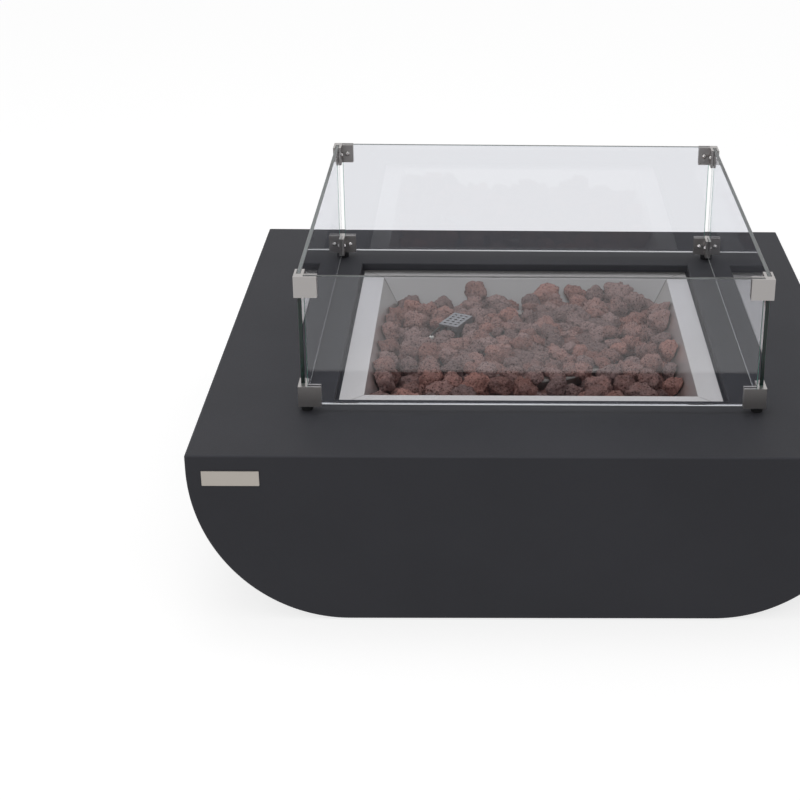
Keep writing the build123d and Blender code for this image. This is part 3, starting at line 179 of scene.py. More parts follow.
class ShaderGroup:
    """A shader node group under construction, with a vector input and number sockets."""

    def __init__(self, name: str, inputs: dict[str, float], outputs: tuple[str, ...]) -> None:
        """Make the group and its sockets.

        Args:
            name: The group's name.
            inputs: Each number input's name and default.
            outputs: The names of its number outputs.
        """
        self.tree = bpy.data.node_groups.new(name, "ShaderNodeTree")
        face = self.tree.interface
        face.new_socket("Vector", in_out="INPUT", socket_type="NodeSocketVector")
        for key, value in inputs.items():
            socket = face.new_socket(key, in_out="INPUT", socket_type="NodeSocketFloat")
            socket.default_value = value
        for key in outputs:
            face.new_socket(key, in_out="OUTPUT", socket_type="NodeSocketFloat")
        self.given = self.tree.nodes.new("NodeGroupInput").outputs
        self.sink = self.tree.nodes.new("NodeGroupOutput")

    def put(self, name: str, socket: Socket) -> None:
        """Send a socket to the group's output of that name."""
        self.tree.links.new(socket, self.sink.inputs[name])


def mottle_group() -> Tree:
    """Return the group for cloudy tone and fine grain, as on cast or moulded surfaces."""
    group = ShaderGroup("mottle", {"Cloud Scale": 3.0, "Grain Scale": 700.0}, ("Cloud", "Grain"))
    for key, detail in (("Cloud", 4.0), ("Grain", 3.0)):
        group.put(key, output_of(group.tree, "ShaderNodeTexNoise", {
            "Vector": group.given["Vector"], "Scale": group.given[f"{key} Scale"], "Detail": detail}))
    return group.tree


def pores_group() -> Tree:
    """Return the group for pits of two sizes, as in lava and cast concrete."""
    group = ShaderGroup("pores", {"Scale": 300.0, "Width": 0.3}, ("Pit", "Height"))
    tree, given = group.tree, group.given
    finer = 2.7  # how much closer the small pits lie than the large ones
    large, small = (
        output_of(tree, "ShaderNodeTexVoronoi", {"Vector": given["Vector"], "Scale": scale})
        for scale in (given["Scale"], reckon(tree, "MULTIPLY", given["Scale"], finer)))
    pit = ranged(tree, reckon(tree, "MINIMUM", large, small), (0.0, given["Width"]), (1.0, 0.0))
    group.put("Pit", pit)
    group.put("Height", reckon(tree, "SUBTRACT", 1.0, pit))
    return tree


def brushed_group() -> Tree:
    """Return the group for fine scratches, which follow the vector's stretched axis."""
    group = ShaderGroup("brushed", {"Scale": 40.0}, ("Scratch",))
    group.put("Scratch", output_of(group.tree, "ShaderNodeTexNoise", {
        "Vector": group.given["Vector"], "Scale": group.given["Scale"], "Detail": 5.0}))
    return group.tree


MAKERS = {"mottle": mottle_group, "pores": pores_group, "brushed": brushed_group}
SHARED: dict[str, Tree] = {}
MADE: dict[str, bpy.types.Material] = {}


def shared(name: str) -> Tree:
    """Return a shared group, built the first time that it is asked for."""
    if name not in SHARED:
        SHARED[name] = MAKERS[name]()
    return SHARED[name]


# ----------------------------------------------------------
# Finishes
# ----------------------------------------------------------


@dataclass(frozen=True)
class Finish:
    """A surface finish, whose subclasses wire their own pattern into the Principled shader."""

    name: str
    colour: Triple
    roughness: float = 0.5
    metallic: float = 0.0
    specular: float = 0.5
    contrast: float = 0.14
    reach: float = 0.08

    def wire(self, tree: Tree, shader: Node, place: Socket) -> None:
        """Wire the finish's own pattern.

        Args:
            tree: The material's tree.
            shader: Its Principled shader.
            place: The object's own coordinates, in metres.
        """
        raise NotImplementedError

    def shade(self, level: float) -> Triple:
        """Return the finish's colour times a level."""
        red, green, blue = (min(1.0, part * level) for part in self.colour)
        return red, green, blue

    def tone(self, tree: Tree, mask: Socket) -> Socket:
        """Return the colour, darkened where the mask is 0 and lightened where it is 1."""
        return blend(tree, mask, self.shade(1 - self.contrast), self.shade(1 + self.contrast))

    def bump(self, tree: Tree, shader: Node, height: Socket, distance: float,
             strength: float = 0.5) -> None:
        """Feed a height to the shader's normal, over a distance in metres."""
        normal = output_of(tree, "ShaderNodeBump", {
            "Height": height, "Distance": distance, "Strength": strength})
        tree.links.new(normal, shader.inputs["Normal"])

    def spread(self, tree: Tree, mask: Socket, shader: Node) -> None:
        """Vary the roughness by a mask, by the finish's reach to each side of its middle."""
        limits = (max(0.02, self.roughness - self.reach), min(1.0, self.roughness + self.reach))
        tree.links.new(ranged(tree, mask, (0.25, 0.75), limits), shader.inputs["Roughness"])

    def material(self) -> bpy.types.Material:
        """Return the finish's material, built once."""
        if self.name in MADE:
            return MADE[self.name]
        material = bpy.data.materials.new(f"{self.name}_finish")
        MADE[self.name] = material
        material.use_nodes = True
        tree = material.node_tree
        shader = next(n for n in tree.nodes if n.type == "BSDF_PRINCIPLED")
        shader.inputs["Base Color"].default_value = (*self.colour, 1.0)
        shader.inputs["Roughness"].default_value = self.roughness
        shader.inputs["Metallic"].default_value = self.metallic
        shader.inputs["Specular IOR Level"].default_value = self.specular
        self.wire(tree, shader, add_node(tree, "ShaderNodeTexCoord").outputs["Object"])
        return material

    def group(self, tree: Tree, name: str, place: Socket,
              **values: float) -> bpy.types.bpy_prop_collection:
        """Place a shared group and return its outputs; underscores in names stand for spaces."""
        node = add_node(tree, "ShaderNodeGroup", node_tree=shared(name))
        tree.links.new(place, node.inputs["Vector"])
        for key, value in values.items():
            node.inputs[key.replace("_", " ")].default_value = value
        return node.outputs


@dataclass(frozen=True)
class Concrete(Finish):
    """Sealed cast concrete: cloudy tone, fine grain, pinholes darkened with painted shade and a
    painted highlight along the upper arris.
    """

    contrast: float = 0.2
    half_side: float = 0.508
    top: float = 0.276
    arris: float = 0.0035
    # how much lighter the painted highlight along the upper arris is
    arris_highlight: float = 2.4
    # the painted shade in the pinholes
    pinhole_shade: Triple = (0.6, 0.6, 0.6)
    depth: float = 0.00007

    def arris_highlight_mask(self, tree: Tree, place: Socket) -> Socket:
        """Return a mask that is 1 along the body's upper outer edge, where the highlight is painted.
        """
        x, y, z = plan(tree, place)
        edges = ((reckon(tree, "MAXIMUM", x, y), self.half_side), (z, self.top))
        side, level = (ranged(tree, value, (edge - self.arris, edge)) for value, edge in edges)
        return reckon(tree, "MULTIPLY", side, level)

    def wire(self, tree: Tree, shader: Node, place: Socket) -> None:
        """Wire cloud, painted shade in the pinholes and a painted highlight along the upper edge to
        the colour, grain to the roughness, and bump both.
        """
        mottle = self.group(tree, "mottle", place, Cloud_Scale=5.0, Grain_Scale=900.0)
        pores = self.group(tree, "pores", place, Scale=70.0, Width=0.045)
        cloudy = self.tone(tree, mottle["Cloud"])
        # the pinholes darkened with painted shade
        pitted = blend(tree, pores["Pit"], cloudy, self.pinhole_shade, "MULTIPLY")
        # a painted highlight along the upper outer edge, broken up by the grain
        highlight_mask = reckon(tree, "MULTIPLY", self.arris_highlight_mask(tree, place), mottle["Grain"])
        arris_highlight = blend(tree, highlight_mask, pitted, self.shade(self.arris_highlight))
        tree.links.new(arris_highlight, shader.inputs["Base Color"])
        self.spread(tree, mottle["Grain"], shader)
        self.bump(tree, shader, reckon(tree, "ADD", pores["Height"], mottle["Grain"]), self.depth)


@dataclass(frozen=True)
class Brushed(Finish):
    """Brushed or drawn metal, with scratches along one axis."""

    grain: Grain = Grain.ALONG_X
    scratch: float = 40.0
    depth: float = 0.00006
    contrast: float = 0.12
    reach: float = 0.1

    def wire(self, tree: Tree, shader: Node, place: Socket) -> None:
        """Stretch the pattern along the grain and wire it to colour, roughness and bump."""
        self.worked(tree, shader, self.stretched(tree, place, self.grain))

    def stretched(self, tree: Tree, place: Socket, grain: Grain) -> Socket:
        """Return the place with its pattern drawn out along a grain."""
        return output_of(tree, "ShaderNodeMapping", {"Vector": place, "Scale": grain.value})

    def worked(self, tree: Tree, shader: Node, vector: Socket) -> None:
        """Wire the scratches that follow a stretched vector."""
        scratch = self.group(tree, "brushed", vector, Scale=self.scratch)["Scratch"]
        tree.links.new(self.tone(tree, scratch), shader.inputs["Base Color"])
        self.spread(tree, scratch, shader)
        self.bump(tree, shader, scratch, self.depth)


@dataclass(frozen=True)
class MitredFlange(Brushed):
    """Brushed sheet whose grain runs along each side of a square, with a joint at the corners."""

    joint: float = 0.0008
    seam: Triple = (0.35, 0.34, 0.33)

    def wire(self, tree: Tree, shader: Node, place: Socket) -> None:
        """Turn the grain where x and y change places, and darken the mitre."""
        x, y, _ = plan(tree, place)
        lead = reckon(tree, "SUBTRACT", x, y)
        self.worked(tree, shader, output_of(tree, "ShaderNodeMix", {
            0: reckon(tree, "GREATER_THAN", lead, 0.0),
            4: self.stretched(tree, place, Grain.ALONG_X),
            5: self.stretched(tree, place, Grain.ALONG_Y),
        }, 1, data_type="VECTOR"))
        mitre = reckon(tree, "LESS_THAN", reckon(tree, "ABSOLUTE", lead), self.joint)
        base = shader.inputs["Base Color"]
        under = base.links[0].from_socket
        tree.links.new(blend(tree, mitre, under, self.seam, "MULTIPLY"), base)


@dataclass(frozen=True)
class Moulded(Finish):
    """Plastic, rubber, ceramic or paint: an even colour with a fine moulded grain."""

    grain_scale: float = 1500.0
    grain_depth: float = 0.00005
    coat: float = 0.0

    def wire(self, tree: Tree, shader: Node, place: Socket) -> None:
        """Wire a faint cloud to the colour and grain to the roughness and bump."""
        mottle = self.group(tree, "mottle", place, Cloud_Scale=40.0, Grain_Scale=self.grain_scale)
        tree.links.new(self.tone(tree, mottle["Cloud"]), shader.inputs["Base Color"])
        shader.inputs["Coat Weight"].default_value = self.coat
        self.spread(tree, mottle["Grain"], shader)
        self.bump(tree, shader, mottle["Grain"], self.grain_depth)


@dataclass(frozen=True)
class Lava(Finish):
    """Porous scoria, red to grey from lump to lump, with tan flecks and painted shade in its pits."""

    grey: Triple = (0.58, 0.4, 0.375)
    fleck: Triple = (0.78, 0.52, 0.42)
    darkest: Triple = (0.6, 0.6, 0.61)
    gritty: Triple = (0.5, 0.47, 0.46)
    # the painted shade in the pits
    pit: Triple = (0.16, 0.12, 0.11)
    depth: float = 0.0024

    def wire(self, tree: Tree, shader: Node, place: Socket) -> None:
        """Mix red and grey by each lump's own tint, fleck it with tan, then paint shade into the
        pits.
        """
        tint = add_node(tree, "ShaderNodeAttribute", attribute_name="lump_tint").outputs["Fac"]
        mottle = self.group(tree, "mottle", place, Cloud_Scale=60.0, Grain_Scale=620.0)
        pores = self.group(tree, "pores", place, Scale=190.0, Width=0.42)
        hue = ranged(tree, reckon(tree, "ADD", tint, mottle["Cloud"]), (0.55, 1.25))
        # a second number for each lump, which doesn't follow the first
        own = reckon(tree, "FRACT", reckon(tree, "MULTIPLY", tint, 7.31))
        flecks = ranged(tree, mottle["Grain"], (0.6, 0.72), (0.0, 0.6))
        layers = (
            (hue, "MIX", self.grey),
            (own, "MULTIPLY", self.darkest),
            (mottle["Grain"], "MULTIPLY", self.gritty),
            (flecks, "MIX", self.fleck),
            # the pits darkened: painted shade in the pores
            (pores["Pit"], "MULTIPLY", self.pit),
        )
        under = self.colour
        for mask, way, colour in layers:
            under = blend(tree, mask, under, colour, way)
        tree.links.new(under, shader.inputs["Base Color"])
        height = reckon(tree, "ADD", pores["Height"], mottle["Grain"])
        self.bump(tree, shader, height, self.depth, strength=0.95)


@dataclass(frozen=True)
class ClearGlass(Finish):
    """Tempered float glass: clear broad faces, grey-green top edges and dark green ends."""

    top_edge: Triple = (0.16, 0.21, 0.215)
    end_face: Triple = (0.004, 0.11, 0.066)
    passed: Triple = (0.93, 0.94, 0.95)
    edge_roughness: float = 0.3
    index: float = 1.5
    half_span: float = 0.3425
    top: float = 0.4954

    def wire(self, tree: Tree, shader: Node, place: Socket) -> None:
        """Tint the ground edges, and let shadow and diffuse rays pass so that the pan is lit."""
        shader.inputs["Transmission Weight"].default_value = 1.0
        shader.inputs["IOR"].default_value = self.index
        x, y, z = plan(tree, place)
        # on an end face both x and y are large at once; on the broad faces only one is
        end = reckon(tree, "GREATER_THAN", reckon(tree, "MINIMUM", x, y), self.half_span)
        upper = reckon(tree, "GREATER_THAN", z, self.top)
        colour = blend(tree, end, blend(tree, upper, self.colour, self.top_edge), self.end_face)
        tree.links.new(colour, shader.inputs["Base Color"])
        ground = reckon(tree, "MAXIMUM", end, upper)
        rough = reckon(tree, "MULTIPLY", ground, self.edge_roughness)
        tree.links.new(rough, shader.inputs["Roughness"])
        clear = output_of(tree, "ShaderNodeBsdfTransparent", {"Color": (*self.passed, 1.0)})
        passes = either_ray(tree, "Is Shadow Ray", "Is Diffuse Ray")
        mix = output_of(tree, "ShaderNodeMixShader", {0: passes, 1: shader.outputs[0], 2: clear})
        output = next(n for n in tree.nodes if n.type == "OUTPUT_MATERIAL")
        tree.links.new(mix, output.inputs["Surface"])


FINISHES: dict[str, Finish] = {finish.name: finish for finish in (
    Concrete("charcoal_concrete", (0.037, 0.0375, 0.0445), 0.72, specular=0.33),
    Moulded("black_rubber", (0.011, 0.011, 0.012), 0.8, specular=0.3, grain_scale=900.0),
    Brushed("plate_metal", (0.47, 0.435, 0.395), 0.42, 0.9, contrast=0.06),
    MitredFlange("pan_steel", (0.64, 0.622, 0.61), 0.3, 0.95, depth=0.000001, contrast=0.025,
                 reach=0.03),
    Brushed("burner_steel", (0.23, 0.21, 0.195), 0.42, 1.0, grain=Grain.ALONG_Z, contrast=0.2),
    Brushed("mixer_steel", (0.48, 0.48, 0.47), 0.45, 1.0, grain=Grain.ALONG_Y),
    Brushed("bright_tube", (0.6, 0.6, 0.6), 0.3, 1.0, grain=Grain.ALONG_Y),
    Brushed("hood_metal", (0.27, 0.27, 0.28), 0.42, 0.9, contrast=0.1),
    Brushed("bright_screws", (0.74, 0.73, 0.72), 0.2, 1.0, contrast=0.05),
    Moulded("white_ceramic", (0.78, 0.76, 0.72), 0.28, coat=0.4, grain_depth=0.00001),
    Brushed("dark_wire", (0.06, 0.055, 0.05), 0.5, 0.7, grain=Grain.ALONG_Z),
    Lava("lava_rock", (0.72, 0.375, 0.315), 0.95, specular=0.15),
    Moulded("cast_aluminium", (0.5, 0.5, 0.5), 0.5, 0.9, grain_scale=700.0),
    Moulded("black_plastic", (0.02, 0.02, 0.022), 0.5),
    Moulded("button_plastic", (0.03, 0.03, 0.03), 0.2, coat=0.5, grain_depth=0.00001),
    Moulded("cell_jacket", (0.1, 0.12, 0.14), 0.35, 0.2),
    Brushed("brass", (0.62, 0.45, 0.2), 0.32, 1.0, grain=Grain.ALONG_Y),
    Brushed("copper", (0.6, 0.28, 0.16), 0.36, 1.0, grain=Grain.ALONG_Y),
    Moulded("lead_sleeve", (0.3, 0.28, 0.26), 0.65),
    Brushed("clamp_steel", (0.41, 0.392, 0.385), 0.36, 0.95, scratch=90.0, depth=0.000001,
            contrast=0.04, reach=0.03),
    ClearGlass("clear_glass", (0.82, 0.83, 0.865), 0.0, specular=0.62),
    Moulded("ground_edge", (0.8, 0.84, 0.83), 0.7, grain_scale=2500.0, grain_depth=0.00001),
)}


# ----------------------------------------------------------
# Geometry helpers
# ----------------------------------------------------------


def place_object(name: str, data: bpy.types.ID) -> bpy.types.Object:
    """Return a new object in the scene that holds the data."""
    made = bpy.data.objects.new(name, data)
    bpy.context.scene.collection.objects.link(made)
    return made


def length(rows: np.ndarray) -> np.ndarray:
    """Return each row's length, kept a little above 0 so that it can divide."""
    return np.maximum(np.linalg.norm(rows, axis=1), 1e-6)


def in_plan(low: Vector, high: Vector) -> tuple[np.ndarray, np.ndarray]:
    """Return the middle and the half size, along x and y, of the box between two corners."""
    first, last = (np.array(tuple(corner))[:2] for corner in (low, high))
    return (first + last) / 2, (last - first) / 2


class GeometryTree:
    """A geometry node tree under construction, which sets a shape on points."""

    def __init__(self, name: str, **inputs: int | float) -> None:
        """Make the tree, with geometry and material inputs round its number inputs.

        Args:
            name: The tree's name.
            inputs: Each number input's name and default.
        """
        self.tree = bpy.data.node_groups.new(name, "GeometryNodeTree")
        face = self.tree.interface
        face.new_socket("Geometry", in_out="INPUT", socket_type="NodeSocketGeometry")
        self.identifiers: dict[str, str] = {}
        for key, value in (*inputs.items(), ("Material", None)):
            kind = {int: "Int", float: "Float"}.get(type(value), "Material")
            socket = face.new_socket(key, in_out="INPUT", socket_type=f"NodeSocket{kind}")
            if value is not None:
                socket.default_value = value
            self.identifiers[key] = socket.identifier
        face.new_socket("Geometry", in_out="OUTPUT", socket_type="NodeSocketGeometry")
        self.given = self.tree.nodes.new("NodeGroupInput").outputs
        self.sink = self.tree.nodes.new("NodeGroupOutput")

    def node(self, kind: str, links: dict | None = None, pick: int = 0, **settings: object) -> Socket:
        """Add a node, as output_of does, and return its output of the number pick."""
        return output_of(self.tree, kind, links, pick, **settings)

    def attribute(self, name: str) -> Socket:
        """Return a named attribute of three numbers."""
        return add_node(self.tree, "GeometryNodeInputNamedAttribute", {"Name": name},
                        data_type="FLOAT_VECTOR").outputs["Attribute"]

    def instances(self, shape: Socket) -> Socket:
        """Return the shape set on every point, with the point's own girth and spin."""
        spin = self.node("FunctionNodeEulerToRotation", {0: self.attribute("spin")})
        return self.node("GeometryNodeInstanceOnPoints", {
            "Points": self.given["Geometry"], "Instance": shape, "Rotation": spin,
            "Scale": self.attribute("girth")})

    def close(self, geometry: Socket) -> None:
        """End the tree in Realize Instances, smooth shading and Set Material."""
        real = self.node("GeometryNodeRealizeInstances", {"Geometry": geometry})
        smooth = self.node("GeometryNodeSetShadeSmooth", {"Geometry": real})
        painted = self.node("GeometryNodeSetMaterial", {
            "Geometry": smooth, "Material": self.given["Material"]})
        self.tree.links.new(painted, self.sink.inputs["Geometry"])

    def bake(self, name: str, finish: str, places: np.ndarray, girth: np.ndarray, spin: np.ndarray,
             **values: int) -> bpy.types.Object:
        """Run the tree on points and keep the result as a plain mesh.

        Args:
            name: The piece's name.
            finish: The name of its finish.
            places: One row of three coordinates per point.
            girth: The shape's scale along its own axes at each point.
            spin: The shape's Euler angles at each point.
            values: The tree's number inputs by name, where they differ from their defaults.

        Returns:
            The piece, with no modifier left on it.
        """
        points = bpy.data.meshes.new(name)
        points.from_pydata(places.tolist(), [], [])
        for key, rows in (("girth", girth), ("spin", spin)):
            layer = points.attributes.new(key, "FLOAT_VECTOR", "POINT")
            layer.data.foreach_set("vector", rows.astype(np.float32).ravel())
        piece = place_object(name, points)
        modifier = piece.modifiers.new("nodes", "NODES")
        modifier.node_group = self.tree
        for key, value in {**values, "Material": FINISHES[finish].material()}.items():
            modifier[self.identifiers[key]] = value
        bpy.context.view_layer.update()
        graph = bpy.context.evaluated_depsgraph_get()
        mesh = bpy.data.meshes.new_from_object(piece.evaluated_get(graph))
        piece.modifiers.clear()
        piece.data = mesh
        mesh.name = name
        return piece


# ----------------------------------------------------------
# Sub-assemblies
# ----------------------------------------------------------


@dataclass
class Assembly:
    """A sub-assembly, which dresses the CAD nodes of its body and keeps new pieces on it."""

    body: str = "base"

    def dress(self) -> None:
        """Give each CAD node of this assembly's body the finish of its record slot."""
        slots = {row["node"]: row["material_slot"] for row in frame["record"]["subparts"]}
        for node in frame["record"]["behaviour"]["bodies"][self.body]:
            piece = frame["nodes"][node]
            piece.data.materials.clear()
            piece.data.materials.append(FINISHES[slots[node]].material())
        log.info("%s dressed", self.body)

    def keep(self, piece: bpy.types.Object, slot: str, *nodes: str) -> None:
        """Ride a new piece on the body and hide the CAD nodes that it stands for."""
        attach(piece, self.body)
        if nodes:
            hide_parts(*nodes)
        log.info("%s: %d faces", piece.name, len(piece.data.polygons))


@dataclass
class LavaFill(Assembly):
    """Loose lava lumps, packed in the pan around the burner and the igniter group."""

    # the pan, whose side slopes out from its floor to its mouth
    pan_floor: float = 0.190
    floor_half: float = 0.2185
    mouth_half: float = 0.2635
    pan_rise: float = 0.074
    crown: float = 0.2545

    # what stands in the fill
    rings: tuple[float, float] = (0.150, 0.075)
    ring_z: float = 0.2335
    ring_half: float = 0.0095
    hood_half: tuple[float, float] = (0.018, 0.030)
    hood_room: float = 0.002
    hood_turn: float = -26.0
    post_room: tuple[tuple[str, float], ...] = (
        ("electrode_insulator", 0.011), ("thermocouple_probe", 0.002))

    # the lumps, and how far they may stand over the crown by the brim and everywhere
    count: int = 244
    smallest: float = 0.0185
    largest: float = 0.0275
    girth: tuple[float, float] = (0.82, 1.14)
    tilt: float = 0.3
    top_layer: float = 0.022
    brim: float = 0.215
    brim_rise: float = 0.006
    over: float = 0.007
    gap: float = 0.0006

    # the packing: where lumps start over the floor and the crown, and what each round moves
    seed: int = 11
    rounds: int = 300
    recount: int = 6
    start: tuple[float, float] = (0.02, 0.03)
    pull: float = 0.0006
    outward: float = 0.0008
    near: float = 2.6
    ease: float = 0.35

    # the share of its radius by which a lump's middle stays off each thing
    off_lump: float = 0.9
    off_side: float = 0.8
    off_ring: float = 0.6
    off_crown: float = 0.92
    off_wall: float = 0.48

    # the chips on the rings: their stray is a share of a step, then metres
    chip_count: int = 43
    hub_chips: int = 3
    hub_ring: float = 0.015
    chip_sizes: tuple[float, float] = (0.0165, 0.0215)
    chip_stray: tuple[float, float] = (0.3, 0.006)
    chip_lift: float = 0.12
    chip_flatness: float = 0.66

    @cached_property
    def posts(self) -> list[tuple[np.ndarray, float]]:
        """The middle and the radius in plan of the electrode and the probe, with room round."""
        boxes = [(in_plan(*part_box(node)), extra) for node, extra in self.post_room]
        return [(middle, half[0] + extra) for (middle, half), extra in boxes]

    @cached_property
    def hood(self) -> tuple[np.ndarray, np.ndarray]:
        """The igniter hood's middle in plan and its two axes as rows."""
        turn = math.radians(self.hood_turn)
        axes = np.array([[math.cos(turn), math.sin(turn)], [-math.sin(turn), math.cos(turn)]])
        return in_plan(*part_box("igniter_hood"))[0], axes

    def wall(self, height: np.ndarray) -> np.ndarray:
        """Return how far the pan's sloping side is from the middle at each height."""
        slope = (self.mouth_half - self.floor_half) * (height - self.pan_floor) / self.pan_rise
        return self.floor_half + slope

    def off_hood(self, places: np.ndarray, room: np.ndarray | float) -> None:
        """Push places out of the hood's footprint, as off_rings does off the rings."""
        middle, axes = self.hood
        local = (places[:, :2] - middle) @ axes.T
        short = np.array(self.hood_half) + room - np.abs(local)
        which = np.nonzero((short > 0).all(axis=1))[0]
        axis = np.argmin(short[which], axis=1)
        side = np.where(local[which, axis] < 0, -1.0, 1.0)
        local[which, axis] += side * short[which, axis]
        places[which, :2] = local[which] @ axes + middle

    def off_posts(self, places: np.ndarray, room: np.ndarray) -> None:
        """Push places away from the electrode and the probe, as off_rings does off the rings."""
        for middle, radius in self.posts:
            arm = places[:, :2] - middle
            far = length(arm)
            push = np.clip(radius + room - far, 0, None)
            places[:, :2] += arm / far[:, None] * push[:, None]

    def off_rings(self, places: np.ndarray, room: np.ndarray | float) -> None:
        """Push places away from the burner's rings.

        Args:
            places: The places, which change.
            room: How far off the rings' skin they stay.
        """
        for ring in self.rings:
            far = length(places[:, :2])
            arm = np.stack([far - ring, places[:, 2] - self.ring_z], axis=1)
            away = length(arm)
            push = np.clip(self.ring_half + room - away, 0, None)
            places[:, :2] *= (1 + arm[:, 0] / away * push / far)[:, None]
            places[:, 2] += arm[:, 1] / away * push

    def apart(self, places: np.ndarray, sizes: np.ndarray,
              pairs: tuple[np.ndarray, np.ndarray]) -> None:
        """Move overlapping pairs apart.

        Args:
            places: The lumps' middles, which change.
            sizes: Their radii.
            pairs: The numbers of the two lumps of each pair.
        """
        one, other = pairs
        arm = places[one] - places[other]
        far = length(arm)
        push = np.clip(self.off_lump * (sizes[one] + sizes[other]) - far, 0, None) * self.ease / far
        np.add.at(places, one, arm * push[:, None])
        np.add.at(places, other, -arm * push[:, None])

    def pack(self) -> tuple[np.ndarray, np.ndarray]:
        """Settle spheres in the pan by moving overlapping pairs apart under a gentle pull down.

        Returns:
            The lumps' middles and their radii.
        """
        rng = np.random.default_rng(self.seed)
        sizes = rng.uniform(self.smallest, self.largest, self.count)
        places = np.empty((self.count, 3))
        places[:, :2] = rng.uniform(-self.floor_half, self.floor_half, (self.count, 2))
        low, high = self.start
        places[:, 2] = rng.uniform(self.pan_floor + low, self.crown + high, self.count)
        side = sizes * self.off_side
        for step in range(self.rounds):
            places[:, 2] -= self.pull * (1 - step / self.rounds)
            outer = np.abs(places[:, :2]) > self.brim
            places[:, :2] += np.where(outer, np.sign(places[:, :2]) * self.outward, 0)
            if step % self.recount == 0:
                between = np.linalg.norm(places[:, None] - places[None], axis=2)
                pairs = np.nonzero(np.triu(between < self.near * self.largest, 1))
            self.apart(places, sizes, pairs)
            self.off_rings(places, sizes * self.off_ring)
            self.off_posts(places, side)
            self.off_hood(places, self.hood_room + side[:, None])
            by_wall = np.abs(places[:, :2]).max(axis=1) > self.brim
            ceiling = self.crown - sizes * self.off_crown + by_wall * self.brim_rise
            places[:, 2] = np.clip(places[:, 2], self.pan_floor + side, ceiling)
            limit = (self.wall(places[:, 2] + sizes / 2) - sizes * self.off_wall)[:, None]
            places[:, :2] = np.clip(places[:, :2], -limit, limit)
        return places, sizes

    def chips(self) -> tuple[np.ndarray, np.ndarray]:
        """Return the middles and radii of the chips along the top of the rings and at the hub."""
        rng = np.random.default_rng(self.seed + 1)
        outer = int(self.chip_count * self.rings[0] / sum(self.rings))
        numbers = (outer, self.chip_count - outer, self.hub_chips)
        step, reach = self.chip_stray
        turns = np.concatenate([np.arange(number) / number for number in numbers])
        turns = (turns + rng.uniform(-step, step, len(turns)) / outer) * 2 * math.pi
        radii = np.repeat((*self.rings, self.hub_ring), numbers)
        radii += rng.uniform(-reach, reach, len(radii))
        sizes = rng.uniform(*self.chip_sizes, len(radii))
        heights = self.ring_z + self.ring_half + sizes * self.chip_lift
        places = np.stack([radii * np.cos(turns), radii * np.sin(turns), heights], axis=1)
        side = sizes * self.off_side
        self.off_posts(places, side)
        self.off_hood(places, self.hood_room + side[:, None])
        return places, sizes

    def trim(self, mesh: bpy.types.Mesh) -> None:
        """Press the lumps' skin off the burner's rings and the hood, and inside the pan.

        Args:
            mesh: The mesh whose vertices are moved.
        """
        flat = np.empty(len(mesh.vertices) * 3, np.float32)
        mesh.vertices.foreach_get("co", flat)
        rows = flat.reshape(-1, 3)
        self.off_rings(rows, self.gap)
        self.off_hood(rows, self.gap)
        limit = (self.wall(np.maximum(rows[:, 2], self.pan_floor)) - self.gap)[:, None]
        rows[:, :2] = np.clip(rows[:, :2], -limit, limit)
        rows[:, 2] = np.clip(rows[:, 2], self.pan_floor + self.gap, self.crown + self.over)
        mesh.vertices.foreach_set("co", flat)
        mesh.update()

    def tree(self) -> GeometryTree:
        """Return the tree that turns points into broken, pitted lumps."""
        tree = GeometryTree("lava_lumps", Detail=4, Chunks=30.0, Roughness=0.24, Crumbs=160.0,
                            Crumble=0.15, Facets=48.0, Seed=3)
        net, given, node = tree.tree, tree.given, tree.node
        place = node("GeometryNodeInputPosition")
        ball = node("GeometryNodeMeshIcoSphere", {"Radius": 1.0, "Subdivisions": given["Detail"]})
        lumps = tree.instances(ball)
        tint = node("FunctionNodeRandomValue", {"Seed": given["Seed"]}, 1, data_type="FLOAT")
        for name, kind, value in (("middle", "FLOAT_VECTOR", place), ("lump_tint", "FLOAT", tint)):
            lumps = node("GeometryNodeStoreNamedAttribute", {
                "Geometry": lumps, "Name": name, "Value": value}, data_type=kind, domain="INSTANCE")
        real = node("GeometryNodeRealizeInstances", {"Geometry": lumps})
        arm = node("ShaderNodeVectorMath", {0: place, 1: tree.attribute("middle")},
                   operation="SUBTRACT")
        swells = []
        for scale, detail, reach in (("Chunks", 1.0, "Roughness"), ("Crumbs", 4.0, "Crumble")):
            noise = node("ShaderNodeTexNoise", {
                "Vector": place, "Scale": given[scale], "Detail": detail})
            swell = ranged(net, noise, (0.3, 0.7), (-1.0, 1.0), clamp=False)
            swells.append(reckon(net, "MULTIPLY", swell, given[reach]))
        facet = node("ShaderNodeTexVoronoi", {"Vector": place, "Scale": given["Facets"]})
        cut = ranged(net, facet, (0.1, 0.8), (0.07, -0.16))
        total = reckon(net, "ADD", reckon(net, "ADD", swells[0], cut), swells[1])
        move = node("ShaderNodeVectorMath", {0: arm, "Scale": total}, operation="SCALE")
        tree.close(node("GeometryNodeSetPosition", {"Geometry": real, "Offset": move}))
        return tree

